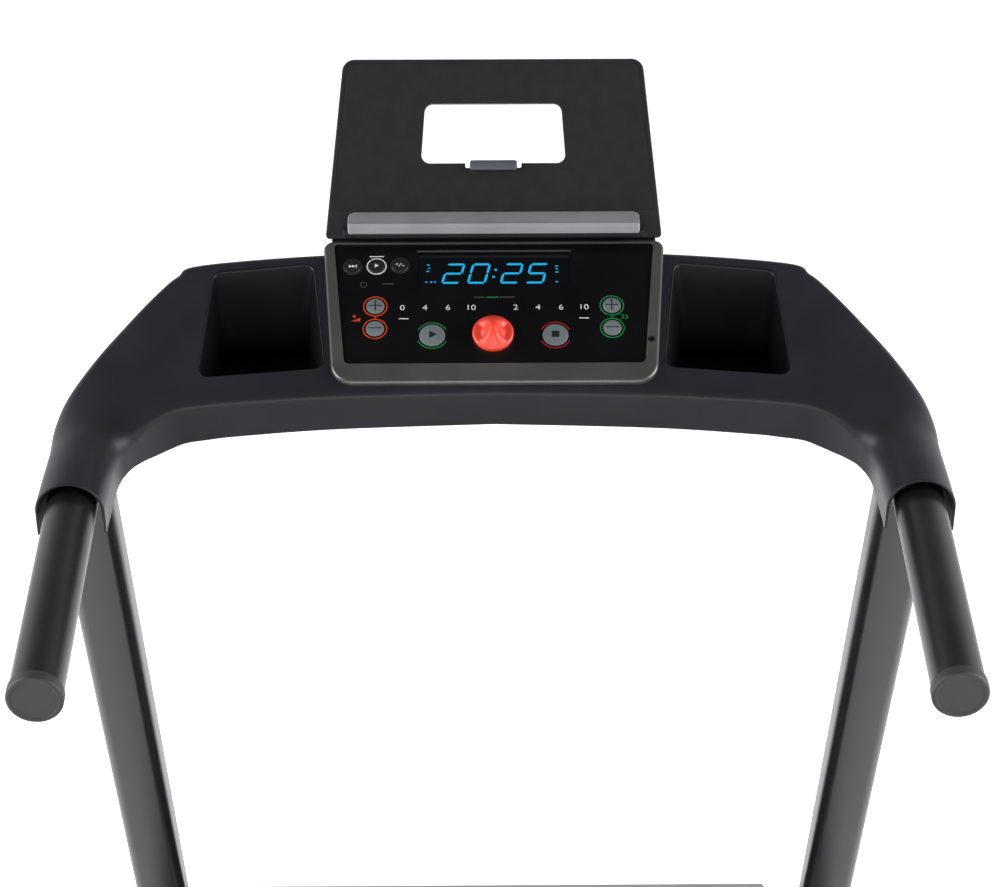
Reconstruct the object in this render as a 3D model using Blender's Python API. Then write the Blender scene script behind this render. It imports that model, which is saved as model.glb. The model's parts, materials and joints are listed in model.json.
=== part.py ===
"""A home treadmill: leaning uprights carry a console with two storage trays, two straight handlebars and a
tablet holder; the running deck folds up about its front pivot, and a motor lifts the front for an incline.

Metres, +Z up. +Y points to the front of the machine and the user stands at -Y, facing +Y. The origin is on
the floor under the middle of the whole object.
"""
import math

import bmesh
import bpy
from mathutils import Matrix, Vector

# ---- Driving sizes -------------------------------------------------------------------------------------
GAP = 0.0003                      # between pieces that touch
MERGE = 1e-5                      # points nearer than this are one point
FRONT_Y = 0.930                   # front of the base rails
REAR_Y = -0.930                   # rear of the deck's end caps

HANDLE_SPACING = 0.830            # between the centre lines of the two handlebars
HANDLE_HEIGHT = 1.175
HANDLE_DIAMETER = 0.050
HANDLE_REACH = 0.279              # from the hood mouth to the outer face of the end cap
HANDLE_TAIL = 0.110               # length of handlebar inside the hood
HANDLE_WALL = 0.002
CAP_LENGTH = 0.012
CAP_PROUD = 0.0015                # how much wider the end cap is than the tube, all round
HOOD_MOUTH_Y = 0.385              # where the handlebars leave the console arms

UPRIGHT_SPACING = HANDLE_SPACING + 0.004   # each post stands a little outside its handlebar
UPRIGHT_WIDTH = 0.0606
UPRIGHT_DEPTH = 0.042
UPRIGHT_CORNER = 0.012
UPRIGHT_WALL = 0.002
UPRIGHT_LEAN = math.radians(17.9)
UPRIGHT_SETBACK = 0.0867          # upright's centre line forward of the hood mouth, at handlebar height

SHELL_WALL = 0.003
CONSOLE_TILT = math.radians(21.9)
PANEL_SETBACK = 0.1475            # front edge of the bezel, forward of the hood mouth
PANEL_RISE = 0.0532               # the same edge above the handlebars' centre line
BEZEL_LENGTH = 0.178
BEZEL_FRONT_WIDTH = 0.329
BEZEL_REAR_WIDTH = 0.355
BEZEL_BAND = 0.0125               # width of the bezel's side bands
BEZEL_FRONT_BAND = 0.0235
BEZEL_HEIGHT = 0.0062
PANEL_SINK = 0.0022               # the panel's face below the bezel's
PANEL_THICKNESS = 0.0033

TRAY_FLOOR_DROP = 0.001           # tray floor below the handlebars' centre line
TRAY_WALL = 0.0025
TRAY_CORNER = 0.009

HOLDER_LEAN = math.radians(35.0)
HOLDER_LENGTH = 0.1905
HOLDER_FOOT = 0.004               # lower edge of the holder, clear of the bezel
HOLDER_BOTTOM_WIDTH = 0.351
HOLDER_TOP_WIDTH = 0.312
HOLDER_THICKNESS = 0.010
HOLDER_SETBACK = 0.3130
HOLDER_RISE = 0.1174
WINDOW_LOW = 0.082
WINDOW_HIGH = 0.1442
WINDOW_LOW_WIDTH = 0.1514
WINDOW_HIGH_WIDTH = 0.1420
MAT_MARGIN = 0.0042
MAT_SINK = 0.0015
MAT_THICKNESS = 0.0010
LEDGE_LENGTH = 0.303
LEDGE_TOP = 0.0320                # where the ledge's top meets the holder, measured up the holder
LEDGE_DEPTH = 0.028
LEDGE_HEIGHT = 0.0112
CLIP_WIDTH = 0.0496

KEY_GAP = 0.00035
ROUND_KEY_RADIUS = 0.0085
STEP_KEY_RADIUS = 0.0093
MAIN_KEY_RADIUS = 0.0132
SAFETY_KEY_RADIUS = 0.0212

DECK_WIDTH = 0.716                # over the foot rails
DECK_RAIL_WIDTH = 0.032
DECK_RAIL_BOTTOM = 0.085
DECK_RAIL_TOP = 0.155
CHANNEL_WALL = 0.003
BOARD_THICKNESS = 0.0185
BELT_WIDTH = 0.508
BELT_THICKNESS = 0.002
ROLLER_RADIUS = 0.024
FRONT_ROLLER_Y = 0.500
REAR_ROLLER_Y = -0.895
PULLEY_RADIUS = 0.030
FOOT_RAIL_TOP = 0.192
FOOT_RAIL_WALL = 0.003
HOOD_HEIGHT = 0.268
HOOD_REAR_Y = 0.556
HOOD_FRONT_Y = 0.860
HOOD_RIM = 0.140
MOTOR_Y = 0.690
MOTOR_Z = 0.163
MOTOR_RADIUS = 0.048
MOTOR_PULLEY_RADIUS = 0.016

PIVOT_Y = 0.820                   # fold pivot of the deck
PIVOT_Z = 0.120
PIVOT_RADIUS = 0.010
LIFT_Y = 0.350                    # pivot of the lift frame on the base
LIFT_Z = 0.042
LIFT_TUBE_RADIUS = 0.014
LIFT_PIN_RADIUS = 0.006
LIFT_ARM_THICKNESS = 0.013
CRANK_LENGTH = 0.050

RAIL_WIDTH = 0.062
RAIL_BOTTOM = 0.010
RAIL_TOP = 0.062
RAIL_REAR_Y = 0.080
WHEEL_RADIUS = 0.027
WHEEL_WIDTH = 0.030
WHEEL_AXLE_RADIUS = 0.006

# ---- Places worked out from the driving sizes -----------------------------------------------------------
HANDLE_X = HANDLE_SPACING / 2
UPRIGHT_X = UPRIGHT_SPACING / 2
HANDLE_RADIUS = HANDLE_DIAMETER / 2
PANEL_Y = HOOD_MOUTH_Y + PANEL_SETBACK
PANEL_Z = HANDLE_HEIGHT + PANEL_RISE
TOP_SINK = BEZEL_HEIGHT + GAP     # the console's top below the bezel's face
TRAY_FLOOR = HANDLE_HEIGHT - TRAY_FLOOR_DROP
HOLDER_Y = HOOD_MOUTH_Y + HOLDER_SETBACK
HOLDER_Z = HANDLE_HEIGHT + HOLDER_RISE
DECK_HALF = DECK_WIDTH / 2
DECK_RAIL_OUT = DECK_HALF - 0.028
DECK_RAIL_IN = DECK_RAIL_OUT - DECK_RAIL_WIDTH
BOARD_BOTTOM = DECK_RAIL_TOP + 0.0015
BOARD_TOP = BOARD_BOTTOM + BOARD_THICKNESS
BELT_TOP = BOARD_TOP + 0.0004 + BELT_THICKNESS
ROLLER_Z = BELT_TOP - BELT_THICKNESS - GAP - ROLLER_RADIUS
BOARD_FRONT_Y = FRONT_ROLLER_Y - ROLLER_RADIUS - 0.012
BOARD_REAR_Y = REAR_ROLLER_Y + ROLLER_RADIUS + 0.012
LIFT_ARM_IN = DECK_HALF + 0.0025
LIFT_ARM_OUT = LIFT_ARM_IN + LIFT_ARM_THICKNESS
RAIL_OUT = UPRIGHT_X + UPRIGHT_WIDTH / 2
RAIL_IN = RAIL_OUT - RAIL_WIDTH
SIDES = (("left", -1), ("right", 1))

for old in list(bpy.data.objects):
    bpy.data.objects.remove(old, do_unlink=True)

# ---- Materials ------------------------------------------------------------------------------------------
FINISHES = {
    "shell_plastic": ((0.045, 0.045, 0.050), 0.45, 0.0),
    "bezel_metallic": ((0.110, 0.110, 0.112), 0.35, 0.6),
    "panel_gloss": ((0.010, 0.010, 0.012), 0.18, 0.0),
    "key_grey": ((0.160, 0.175, 0.190), 0.45, 0.0),
    "key_dark": ((0.030, 0.030, 0.034), 0.40, 0.0),
    "safety_red": ((0.850, 0.085, 0.050), 0.40, 0.0),
    "lens_clear": ((0.010, 0.014, 0.020), 0.08, 0.0),
    "circuit_green": ((0.020, 0.120, 0.050), 0.55, 0.0),
    "soft_mat": ((0.024, 0.024, 0.024), 0.85, 0.0),
    "ledge_grey": ((0.150, 0.150, 0.160), 0.45, 0.0),
    "painted_steel": ((0.038, 0.038, 0.042), 0.38, 0.4),
    "bare_steel": ((0.450, 0.450, 0.460), 0.35, 1.0),
    "rubber_black": ((0.020, 0.020, 0.020), 0.80, 0.0),
    "belt_black": ((0.015, 0.015, 0.015), 0.75, 0.0),
    "wood_board": ((0.420, 0.300, 0.180), 0.60, 0.0),
    "motor_black": ((0.025, 0.025, 0.028), 0.45, 0.5),
}


def make_material(name):
    colour, roughness, metallic = FINISHES[name]
    material = bpy.data.materials.new(name)
    material.use_nodes = True
    shader = material.node_tree.nodes["Principled BSDF"]
    shader.inputs["Base Color"].default_value = (*colour, 1.0)
    shader.inputs["Roughness"].default_value = roughness
    shader.inputs["Metallic"].default_value = metallic
    return material


MATERIALS = {name: make_material(name) for name in FINISHES}


# ---- Building helpers -----------------------------------------------------------------------------------
def make_object(name, bm, finish):
    """Turns a finished bmesh, in world places, into an object."""
    bmesh.ops.recalc_face_normals(bm, faces=bm.faces)
    mesh = bpy.data.meshes.new(name)
    bm.to_mesh(mesh)
    bm.free()
    mesh.shade_smooth()
    mesh.set_sharp_from_angle(angle=math.radians(35))
    obj = bpy.data.objects.new(name, mesh)
    bpy.context.scene.collection.objects.link(obj)
    if finish:
        mesh.materials.append(MATERIALS[finish])
    return obj


def loft_mesh(rings, closed_ends=True, wrap=False):
    """Skins rings of equal length; each ring is a closed loop of points."""
    bm = bmesh.new()
    loops = [[bm.verts.new(point) for point in ring] for ring in rings]
    count = len(rings[0])
    pairs = list(zip(loops, loops[1:]))
    if wrap:
        pairs.append((loops[-1], loops[0]))
    for first, second in pairs:
        for i in range(count):
            j = (i + 1) % count
            bm.faces.new((first[i], first[j], second[j], second[i]))
    if closed_ends and not wrap:
        bm.faces.new(loops[0])
        bm.faces.new(loops[-1])
    return bm


def rounded(corners, radius, steps=4):
    """A convex outline in a plane with each corner turned into an arc; radius may be one value or a list."""
    radii = radius if isinstance(radius, (list, tuple)) else [radius] * len(corners)
    points = []
    for i, corner in enumerate(corners):
        here = Vector(corner)
        before = (Vector(corners[i - 1]) - here).normalized()
        after = (Vector(corners[(i + 1) % len(corners)]) - here).normalized()
        half = before.angle(after) / 2
        reach = radii[i] / math.tan(half)
        centre = here + (before + after).normalized() * radii[i] / math.sin(half)
        start = here + before * reach - centre
        end = here + after * reach - centre
        sweep = start.angle_signed(end)
        for step in range(steps + 1):
            turn = -sweep * step / steps
            points.append(centre + Matrix.Rotation(turn, 2) @ start)
    return points


def prism(name, outline, axis, low, high, finish):
    """Extrudes a 2D outline along a world axis; the outline's two values are the other two axes in order."""
    def place(point, height):
        values = list(point)
        values.insert("XYZ".index(axis), height)
        return values
    rings = [[place(point, low) for point in outline], [place(point, high) for point in outline]]
    return make_object(name, loft_mesh(rings), finish)


def box(name, low, high, finish=None, round_edges=0.0):
    bm = bmesh.new()
    bmesh.ops.create_cube(bm, size=1.0)
    size = Vector(high) - Vector(low)
    bmesh.ops.scale(bm, vec=size, verts=bm.verts)
    bmesh.ops.translate(bm, vec=(Vector(low) + Vector(high)) / 2, verts=bm.verts)
    if round_edges:
        bmesh.ops.bevel(bm, geom=list(bm.edges), offset=round_edges, segments=2, profile=0.5,
                        affect="EDGES", clamp_overlap=True)
    return make_object(name, bm, finish)


def turned(name, profile, centre, axis, finish, steps=24):
    """Spins (radius, along) points about an axis; a profile that starts at radius 0 also ends there."""
    direction = Vector(axis).normalized()
    side = direction.orthogonal().normalized()
    bm = bmesh.new()
    verts = [bm.verts.new(Vector(centre) + side * radius + direction * along) for radius, along in profile]
    edges = [bm.edges.new(pair) for pair in zip(verts, verts[1:])]
    if profile[0][0] > 0:
        edges.append(bm.edges.new((verts[-1], verts[0])))
    bmesh.ops.spin(bm, geom=verts + edges, cent=centre, axis=direction, angle=math.tau, steps=steps,
                   use_merge=True)
    bmesh.ops.remove_doubles(bm, verts=bm.verts, dist=MERGE)
    return make_object(name, bm, finish)


def disc_profile(radius, low, high, bore=0.0):
    return [(bore, low), (radius, low), (radius, high), (bore, high)]


def combine(target, other, operation):
    """Applies a Boolean at once and removes the helper."""
    modifier = target.modifiers.new(operation.lower(), "BOOLEAN")
    modifier.operation = operation
    modifier.solver = "EXACT"
    modifier.object = other
    graph = bpy.context.evaluated_depsgraph_get()
    result = bpy.data.meshes.new_from_object(target.evaluated_get(graph))
    target.modifiers.clear()
    old = target.data
    target.data = result
    result.name = target.name
    bpy.data.meshes.remove(old)
    bpy.data.objects.remove(other, do_unlink=True)


def paint(obj, finish):
    """Gives an object one material, after Booleans have left empty slots."""
    obj.data.materials.clear()
    obj.data.materials.append(MATERIALS[finish])


def cut(target, cutter):
    combine(target, cutter, "DIFFERENCE")


def join(target, other):
    combine(target, other, "UNION")


def channel_frame(name, boxes, wall, finish):
    """A welded frame of open-bottomed channels: the outer boxes, hollowed from below by the inner ones."""
    frame = None
    for low, high in boxes:
        bar = box(f"{name}_bar", low, high, finish)
        if frame is None:
            frame = bar
            frame.name = name
        else:
            join(frame, bar)
    floor = min(low[2] for low, high in boxes) - wall
    for low, high in boxes:
        inner_low = (low[0] + wall, low[1] + wall, floor)
        inner_high = (high[0] - wall, high[1] - wall, high[2] - wall)
        cut(frame, box(f"{name}_hollow", inner_low, inner_high))
    return frame


# ---- Bodies: one empty on each joint's axis -------------------------------------------------------------
BODIES = {}


def body(name, place, parent=None):
    empty = bpy.data.objects.new(f"{name}_joint", None)
    empty.empty_display_size = 0.03
    bpy.context.scene.collection.objects.link(empty)
    here = Vector(place)
    if parent:
        empty.parent = BODIES[parent][0]
        empty.location = here - BODIES[parent][1]
    else:
        empty.location = here
    BODIES[name] = (empty, here)


def ride(obj, name):
    """Parents a piece to its body, moving its origin to the body's joint and leaving it where it is."""
    empty, here = BODIES[name]
    obj.data.transform(Matrix.Translation(-here))
    obj.parent = empty


def on_panel(x, along, above=0.0):
    """A place from the console's sloping face: along runs away from the user, above leaves the face."""
    rise, run = math.sin(CONSOLE_TILT), math.cos(CONSOLE_TILT)
    return Vector((x, PANEL_Y + along * run - above * rise, PANEL_Z + along * rise + above * run))


def on_holder(x, up, out=0.0):
    """A place from the tablet holder's front face: up runs up the face, out leaves it towards the user."""
    lean, stand = math.sin(HOLDER_LEAN), math.cos(HOLDER_LEAN)
    return Vector((x, HOLDER_Y + up * lean - out * stand, HOLDER_Z + up * stand + out * lean))


def slab(name, outline, place, low, high, finish):
    """Extrudes an outline drawn on the panel or the holder, between two heights above it."""
    rings = [[place(x, y, level) for x, y in outline] for level in (low, high)]
    return make_object(name, loft_mesh(rings), finish)


def ring_slab(name, outer, inner, place, low, high, finish):
    """A frame between two outlines with the same number of points."""
    bands = ((outer, low), (outer, high), (inner, high), (inner, low))
    rings = [[place(x, y, level) for x, y in outline] for outline, level in bands]
    return make_object(name, loft_mesh(rings, wrap=True), finish)


def tapered(front_width, rear_width, front, rear):
    """Four corners of an outline that is symmetrical about x = 0."""
    return [(-front_width / 2, front), (front_width / 2, front), (rear_width / 2, rear),
            (-rear_width / 2, rear)]


PANEL_NORMAL = (on_panel(0, 0, 1.0) - on_panel(0, 0)).normalized()


# ---- Console shell --------------------------------------------------------------------------------------
def top_plane(y):
    """Height of the console's flat top at a given y."""
    base_y = PANEL_Y + TOP_SINK * math.sin(CONSOLE_TILT)
    base_z = PANEL_Z - TOP_SINK * math.cos(CONSOLE_TILT)
    return base_z + math.tan(CONSOLE_TILT) * (y - base_y)


# Each row pairs a place on the inner edge with one on the outer edge, from the hood mouth to the middle of
# the console: inner x and y, outer x and y, share of hood arch, inner rim and outer rim. The x values count
# from the handlebar's centre line while they are near it, y values from the hood mouth, rims from the
# handlebar's height.
ARM_ROWS = [
    (-0.0335, 0.0000, 0.0345, 0.000, 1.00, -0.0235, -0.0260),
    (-0.0350, 0.0400, 0.0330, 0.040, 1.00, -0.0235, -0.0255),
    (-0.0380, 0.0780, 0.0308, 0.085, 0.92, -0.0225, -0.0250),
    (-0.0480, 0.0950, 0.0295, 0.122, 0.68, -0.0165, -0.0240),
    (-0.0600, 0.1060, 0.0190, 0.155, 0.38, -0.0140, -0.0230),
    (-0.0720, 0.1145, -0.0060, 0.192, 0.14, -0.0130, -0.0220),
    (-0.0860, 0.1215, -0.0390, 0.232, 0.03, -0.0100, -0.0210),
    (-0.1020, 0.1265, -0.0680, 0.266, 0.00, -0.0060, -0.0205),
    (-0.1250, 0.1295, -0.0860, 0.284, 0.00, -0.0040, -0.0200),
    (-0.1550, 0.1325, -0.1120, 0.298, 0.00, -0.0020, -0.0200),
]
MIDDLE_INNER_Y = 0.1422
MIDDLE_OUTER_Y = 0.3120
MIDDLE_RIM = 0.0050
WING_X = 0.160                    # where the straight middle of the console starts
ARCH_BASE = 0.0015                # the arch's spring line above the handlebar's centre line
ARCH_HEIGHT = HANDLE_RADIUS + 0.0095
ROWS_RADIUS = 0.025               # the handlebar radius that the rows are drawn round
FRONT_ROUND = 0.005
REAR_ROUND = 0.012
ROWS_PER_STEP = 2
ARCH_STEPS = 14


def smooth_between(a, b, c, d, t):
    """Catmull-Rom value between b and c."""
    square = (2 * a - 5 * b + 4 * c - d) * t ** 2
    cube = (3 * b - a - 3 * c + d) * t ** 3
    return 0.5 * (2 * b + (c - a) * t + square + cube)


def console_rows():
    """Edge rows from the hood mouth to the middle, as absolute places, with smooth in-between rows."""
    rows = []
    for inner_x, inner_y, outer_x, outer_y, arch, inner_rim, outer_rim in ARM_ROWS:
        extra = (HANDLE_RADIUS - ROWS_RADIUS) * arch
        rows.append((HANDLE_X + inner_x - extra, inner_y, HANDLE_X + outer_x + extra, outer_y, arch,
                     inner_rim, outer_rim))
    rows.append((WING_X, 0.1385, WING_X, 0.3100, 0.0, 0.0020, -0.0200))
    rows.append((0.0, MIDDLE_INNER_Y, 0.0, MIDDLE_OUTER_Y, 0.0, MIDDLE_RIM, -0.0200))
    last = len(rows) - 1
    fine = []
    for i in range(last):
        around = [rows[max(i - 1, 0)], rows[i], rows[i + 1], rows[min(i + 2, last)]]
        steps = ROWS_PER_STEP if i < last - 1 else 1
        for step in range(steps):
            fine.append(tuple(smooth_between(*values, step / steps) for values in zip(*around)))
    fine.append(rows[last])
    return fine


def section(row):
    """The outside of one section as (across, height) from the inner rim, over the top, to the outer rim."""
    inner_x, inner_y, outer_x, outer_y, arch, inner_rim, outer_rim = row
    inner = Vector((inner_x, HOOD_MOUTH_Y + inner_y))
    outer = Vector((outer_x, HOOD_MOUTH_Y + outer_y))
    width = (outer - inner).length
    base = HANDLE_HEIGHT + ARCH_BASE
    points = [(0.0, HANDLE_HEIGHT + inner_rim)]
    for step in range(ARCH_STEPS + 1):
        angle = math.pi * step / ARCH_STEPS
        across = width * (1 - math.cos(angle)) / 2
        y = inner.y + (outer.y - inner.y) * across / width
        flat = top_plane(y)
        for distance, size in ((across, FRONT_ROUND), (width - across, REAR_ROUND)):
            if distance < size:
                flat -= size - math.sqrt(size ** 2 - (size - distance) ** 2)
        dome = base + ARCH_HEIGHT * math.sin(angle)
        points.append((across, arch * dome + (1 - arch) * flat))
    points.append((width, HANDLE_HEIGHT + outer_rim))
    return inner, outer, points


def inside_of(points, wall):
    """The same section moved inwards by the wall, along the outline's own normals."""
    moved = []
    for i, point in enumerate(points):
        before = Vector(points[max(i - 1, 0)])
        after = Vector(points[min(i + 1, len(points) - 1)])
        along = (after - before).normalized()
        moved.append(Vector(point) + Vector((along.y, -along.x)) * wall)
    moved[0].y = points[0][1]
    moved[-1].y = points[-1][1]
    return moved


def shell_ring(row, flip):
    inner, outer, points = section(row)
    direction = (outer - inner).normalized()
    loop = [Vector(point) for point in points] + list(reversed(inside_of(points, SHELL_WALL)))
    ring = []
    for across, height in loop:
        place = inner + direction * across
        ring.append((place.x * flip, place.y, height))
    return ring


def tray_outline(side, grow, level):
    """One tray's outline at the console's top or, at level 1, at its floor, in plan."""
    top = ((0.1735, 0.0262), (0.3003, 0.0150), (0.2895, 0.1447), (0.1885, 0.1550))
    floor = ((0.1800, 0.0380), (0.2960, 0.0290), (0.2860, 0.1370), (0.1980, 0.1440))
    corners = []
    for x, along in (floor if level else top):
        corners.append((x, PANEL_Y + along * math.cos(CONSOLE_TILT)))
    centre = sum((Vector(c) for c in corners), Vector((0, 0))) / 4
    grown = []
    for corner in corners:
        away = Vector(corner) - centre
        grown.append(centre + Vector((away.x + math.copysign(grow, away.x),
                                      away.y + math.copysign(grow, away.y))))
    points = rounded(grown, TRAY_CORNER + grow)
    return [(point.x * side, point.y) for point in points]


def tray_solid(side, grow, floor, rise):
    """Closed tub from its floor up to the console's top face plus a rise."""
    low = [(x, y, floor) for x, y in tray_outline(side, grow, 1)]
    high = [(x, y, top_plane(y) + rise) for x, y in tray_outline(side, grow, 0)]
    rings = [low, high]
    if rise > 0:
        rings = [low, [(x, y, z - rise) for x, y, z in high], high]
    return make_object("tray_cutter", loft_mesh(rings), None)


def build_console():
    rows = console_rows()
    rings = [shell_ring(row, -1) for row in rows] + [shell_ring(row, 1) for row in reversed(rows[:-1])]
    shell = make_object("console_top_shell", loft_mesh(rings), "shell_plastic")
    for side in (-1, 1):
        join(shell, tray_solid(side, TRAY_WALL, TRAY_FLOOR - TRAY_WALL, -SHELL_WALL / 2))
        cut(shell, tray_solid(side, 0.0, TRAY_FLOOR, 0.010))
    opening = tapered(BEZEL_FRONT_WIDTH - 2 * BEZEL_BAND - 0.008, BEZEL_REAR_WIDTH - 2 * BEZEL_BAND - 0.012,
                      BEZEL_FRONT_BAND, BEZEL_LENGTH - 0.010)
    cut(shell, slab("panel_opening", opening, on_panel, -0.030, 0.010, None))
    paint(shell, "shell_plastic")

    front = HOOD_MOUTH_Y + MIDDLE_INNER_Y + SHELL_WALL + 0.001
    back = HOOD_MOUTH_Y + 0.288
    floor = HANDLE_HEIGHT - 0.033
    wall = 0.003
    lip = HANDLE_HEIGHT + MIDDLE_RIM - 0.001
    bend = HOOD_MOUTH_Y + 0.200
    profile = [(front, lip), (bend, floor), (back, floor), (back, floor + 0.014),
               (back - wall, floor + 0.014),
               (back - wall, floor + wall), (bend + 0.001, floor + wall), (front + wall, lip)]
    prism("console_lower_shell", profile, "X", -0.300, 0.300, "shell_plastic")

    plate_z = HANDLE_HEIGHT - 0.025
    box("console_support_plate", (-0.318, HOOD_MOUTH_Y + 0.212, plate_z),
        (0.318, HOOD_MOUTH_Y + 0.284, plate_z + 0.003),
        "painted_steel", 0.001)
    arm_plan = [(0.028, 0.089), (0.028, 0.109), (-0.010, 0.115), (-0.028, 0.160), (-0.063, 0.225),
                (-0.090, 0.255),
                (-0.115, 0.255), (-0.115, 0.215), (-0.072, 0.213), (-0.058, 0.150), (-0.031, 0.112), (-0.028,
                                                                                                      0.089)]
    saddle_y = HOOD_MOUTH_Y + UPRIGHT_SETBACK + 0.0125
    saddle_top = HANDLE_HEIGHT - HANDLE_RADIUS - GAP
    for side, sign in SIDES:
        plan = [(sign * (HANDLE_X + x), HOOD_MOUTH_Y + y) for x, y in arm_plan]
        bracket = prism(f"{side}_console_bracket", plan, "Z", saddle_top - 0.004, saddle_top, "painted_steel")
        saddle = box("saddle", (sign * UPRIGHT_X - 0.026, saddle_y - 0.0095, upright_top() + GAP),
                     (sign * UPRIGHT_X + 0.026, saddle_y + 0.0095, saddle_top - 0.001))
        join(bracket, saddle)
        paint(bracket, "painted_steel")


def build_panel():
    outer_corners = tapered(BEZEL_FRONT_WIDTH, BEZEL_REAR_WIDTH, 0.0, BEZEL_LENGTH)
    inner_front = BEZEL_FRONT_WIDTH - 2 * BEZEL_BAND + 0.0015
    inner_rear = BEZEL_REAR_WIDTH - 2 * BEZEL_BAND + 0.0025
    inner_corners = tapered(inner_front, inner_rear, BEZEL_FRONT_BAND, BEZEL_LENGTH - 0.0035)
    outer = rounded(outer_corners, [0.024, 0.024, 0.010, 0.010])
    inner = rounded(inner_corners, [0.006, 0.006, 0.003, 0.003])
    bezel = ring_slab("console_bezel", outer, inner, on_panel, -BEZEL_HEIGHT, 0.0, "bezel_metallic")
    jack_place = on_panel(0.1600, 0.0520)
    cut(bezel, turned("jack_hole", disc_profile(0.0038, -0.012, 0.004), jack_place, PANEL_NORMAL, None, 16))
    turned("audio_socket", disc_profile(0.0035, -BEZEL_HEIGHT, 0.0003, 0.0018), jack_place, PANEL_NORMAL,
           "key_dark", 16)

    fit = GAP
    panel_corners = tapered(inner_front - 2 * fit, inner_rear - 2 * fit, BEZEL_FRONT_BAND + fit,
                            BEZEL_LENGTH - 0.0035 - fit)
    low = -PANEL_SINK - PANEL_THICKNESS
    panel = slab("control_panel", rounded(panel_corners, [0.006, 0.006, 0.003, 0.003]), on_panel, low,
                 -PANEL_SINK,
                 "panel_gloss")
    display = tapered(0.1560, 0.1560, 0.1215, 0.1635)
    cut(panel, slab("display_hole", display, on_panel, -0.02, 0.01, None))
    lens = tapered(0.1560 - 2 * fit, 0.1560 - 2 * fit, 0.1215 + fit, 0.1635 - fit)
    slab("display_window", lens, on_panel, low, -PANEL_SINK - 0.0003, "lens_clear")
    slab("display_board", tapered(0.262, 0.272, 0.034, 0.158), on_panel, -0.0118, -0.0102, "circuit_green")

    keys = [
        ("skip_key", -0.1466, 0.1456, ROUND_KEY_RADIUS, "key_dark"),
        ("display_key", -0.1216, 0.1464, ROUND_KEY_RADIUS, "key_dark"),
        ("select_key", -0.0973, 0.1472, ROUND_KEY_RADIUS, "key_dark"),
        ("incline_up_key", -0.1221, 0.0955, STEP_KEY_RADIUS, "key_grey"),
        ("incline_down_key", -0.1221, 0.0674, STEP_KEY_RADIUS, "key_grey"),
        ("speed_up_key", 0.1206, 0.0955, STEP_KEY_RADIUS, "key_grey"),
        ("speed_down_key", 0.1206, 0.0674, STEP_KEY_RADIUS, "key_grey"),
        ("start_key", -0.0635, 0.0588, MAIN_KEY_RADIUS, "key_grey"),
        ("stop_key", 0.0622, 0.0588, MAIN_KEY_RADIUS, "key_grey"),
    ]
    for name, x, along, radius, finish in keys:
        place = on_panel(x, along)
        cut(panel, turned("key_hole", disc_profile(radius + KEY_GAP, -0.02, 0.01), place, PANEL_NORMAL, None,
                          20))
        top = -PANEL_SINK + 0.0012
        profile = [(0.0, -0.0085), (radius, -0.0085), (radius, top - 0.0008), (radius * 0.8, top - 0.0001),
                   (0.0, top + 0.0002)]
        body(name, place)
        ride(turned(name, profile, place, PANEL_NORMAL, finish, 20), name)

    place = on_panel(-0.0015, 0.0588)
    post = 0.0050
    cut(panel, turned("key_socket", disc_profile(post + 0.0008, -0.02, 0.01), place, PANEL_NORMAL, None, 16))
    seat = -PANEL_SINK + GAP
    knob = turned("safety_key", [(0.0, -0.0080), (post, -0.0080), (post, seat), (SAFETY_KEY_RADIUS, seat),
                                 (SAFETY_KEY_RADIUS, 0.0035), (SAFETY_KEY_RADIUS * 0.82, 0.0065), (0.0,
                                                                                                   0.0075)],
                  place, PANEL_NORMAL, "safety_red", 24)
    grip_outline = rounded([(-0.0068, -0.0185), (0.0068, -0.0185), (0.0068, 0.0185), (-0.0068, 0.0185)],
                           0.0066)
    grip = slab("grip", [(-0.0015 + x, 0.0588 + y) for x, y in grip_outline], on_panel, 0.0040, 0.0200, None)
    join(knob, grip)
    paint(knob, "safety_red")
    body("safety_key", place)
    ride(knob, "safety_key")


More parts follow.
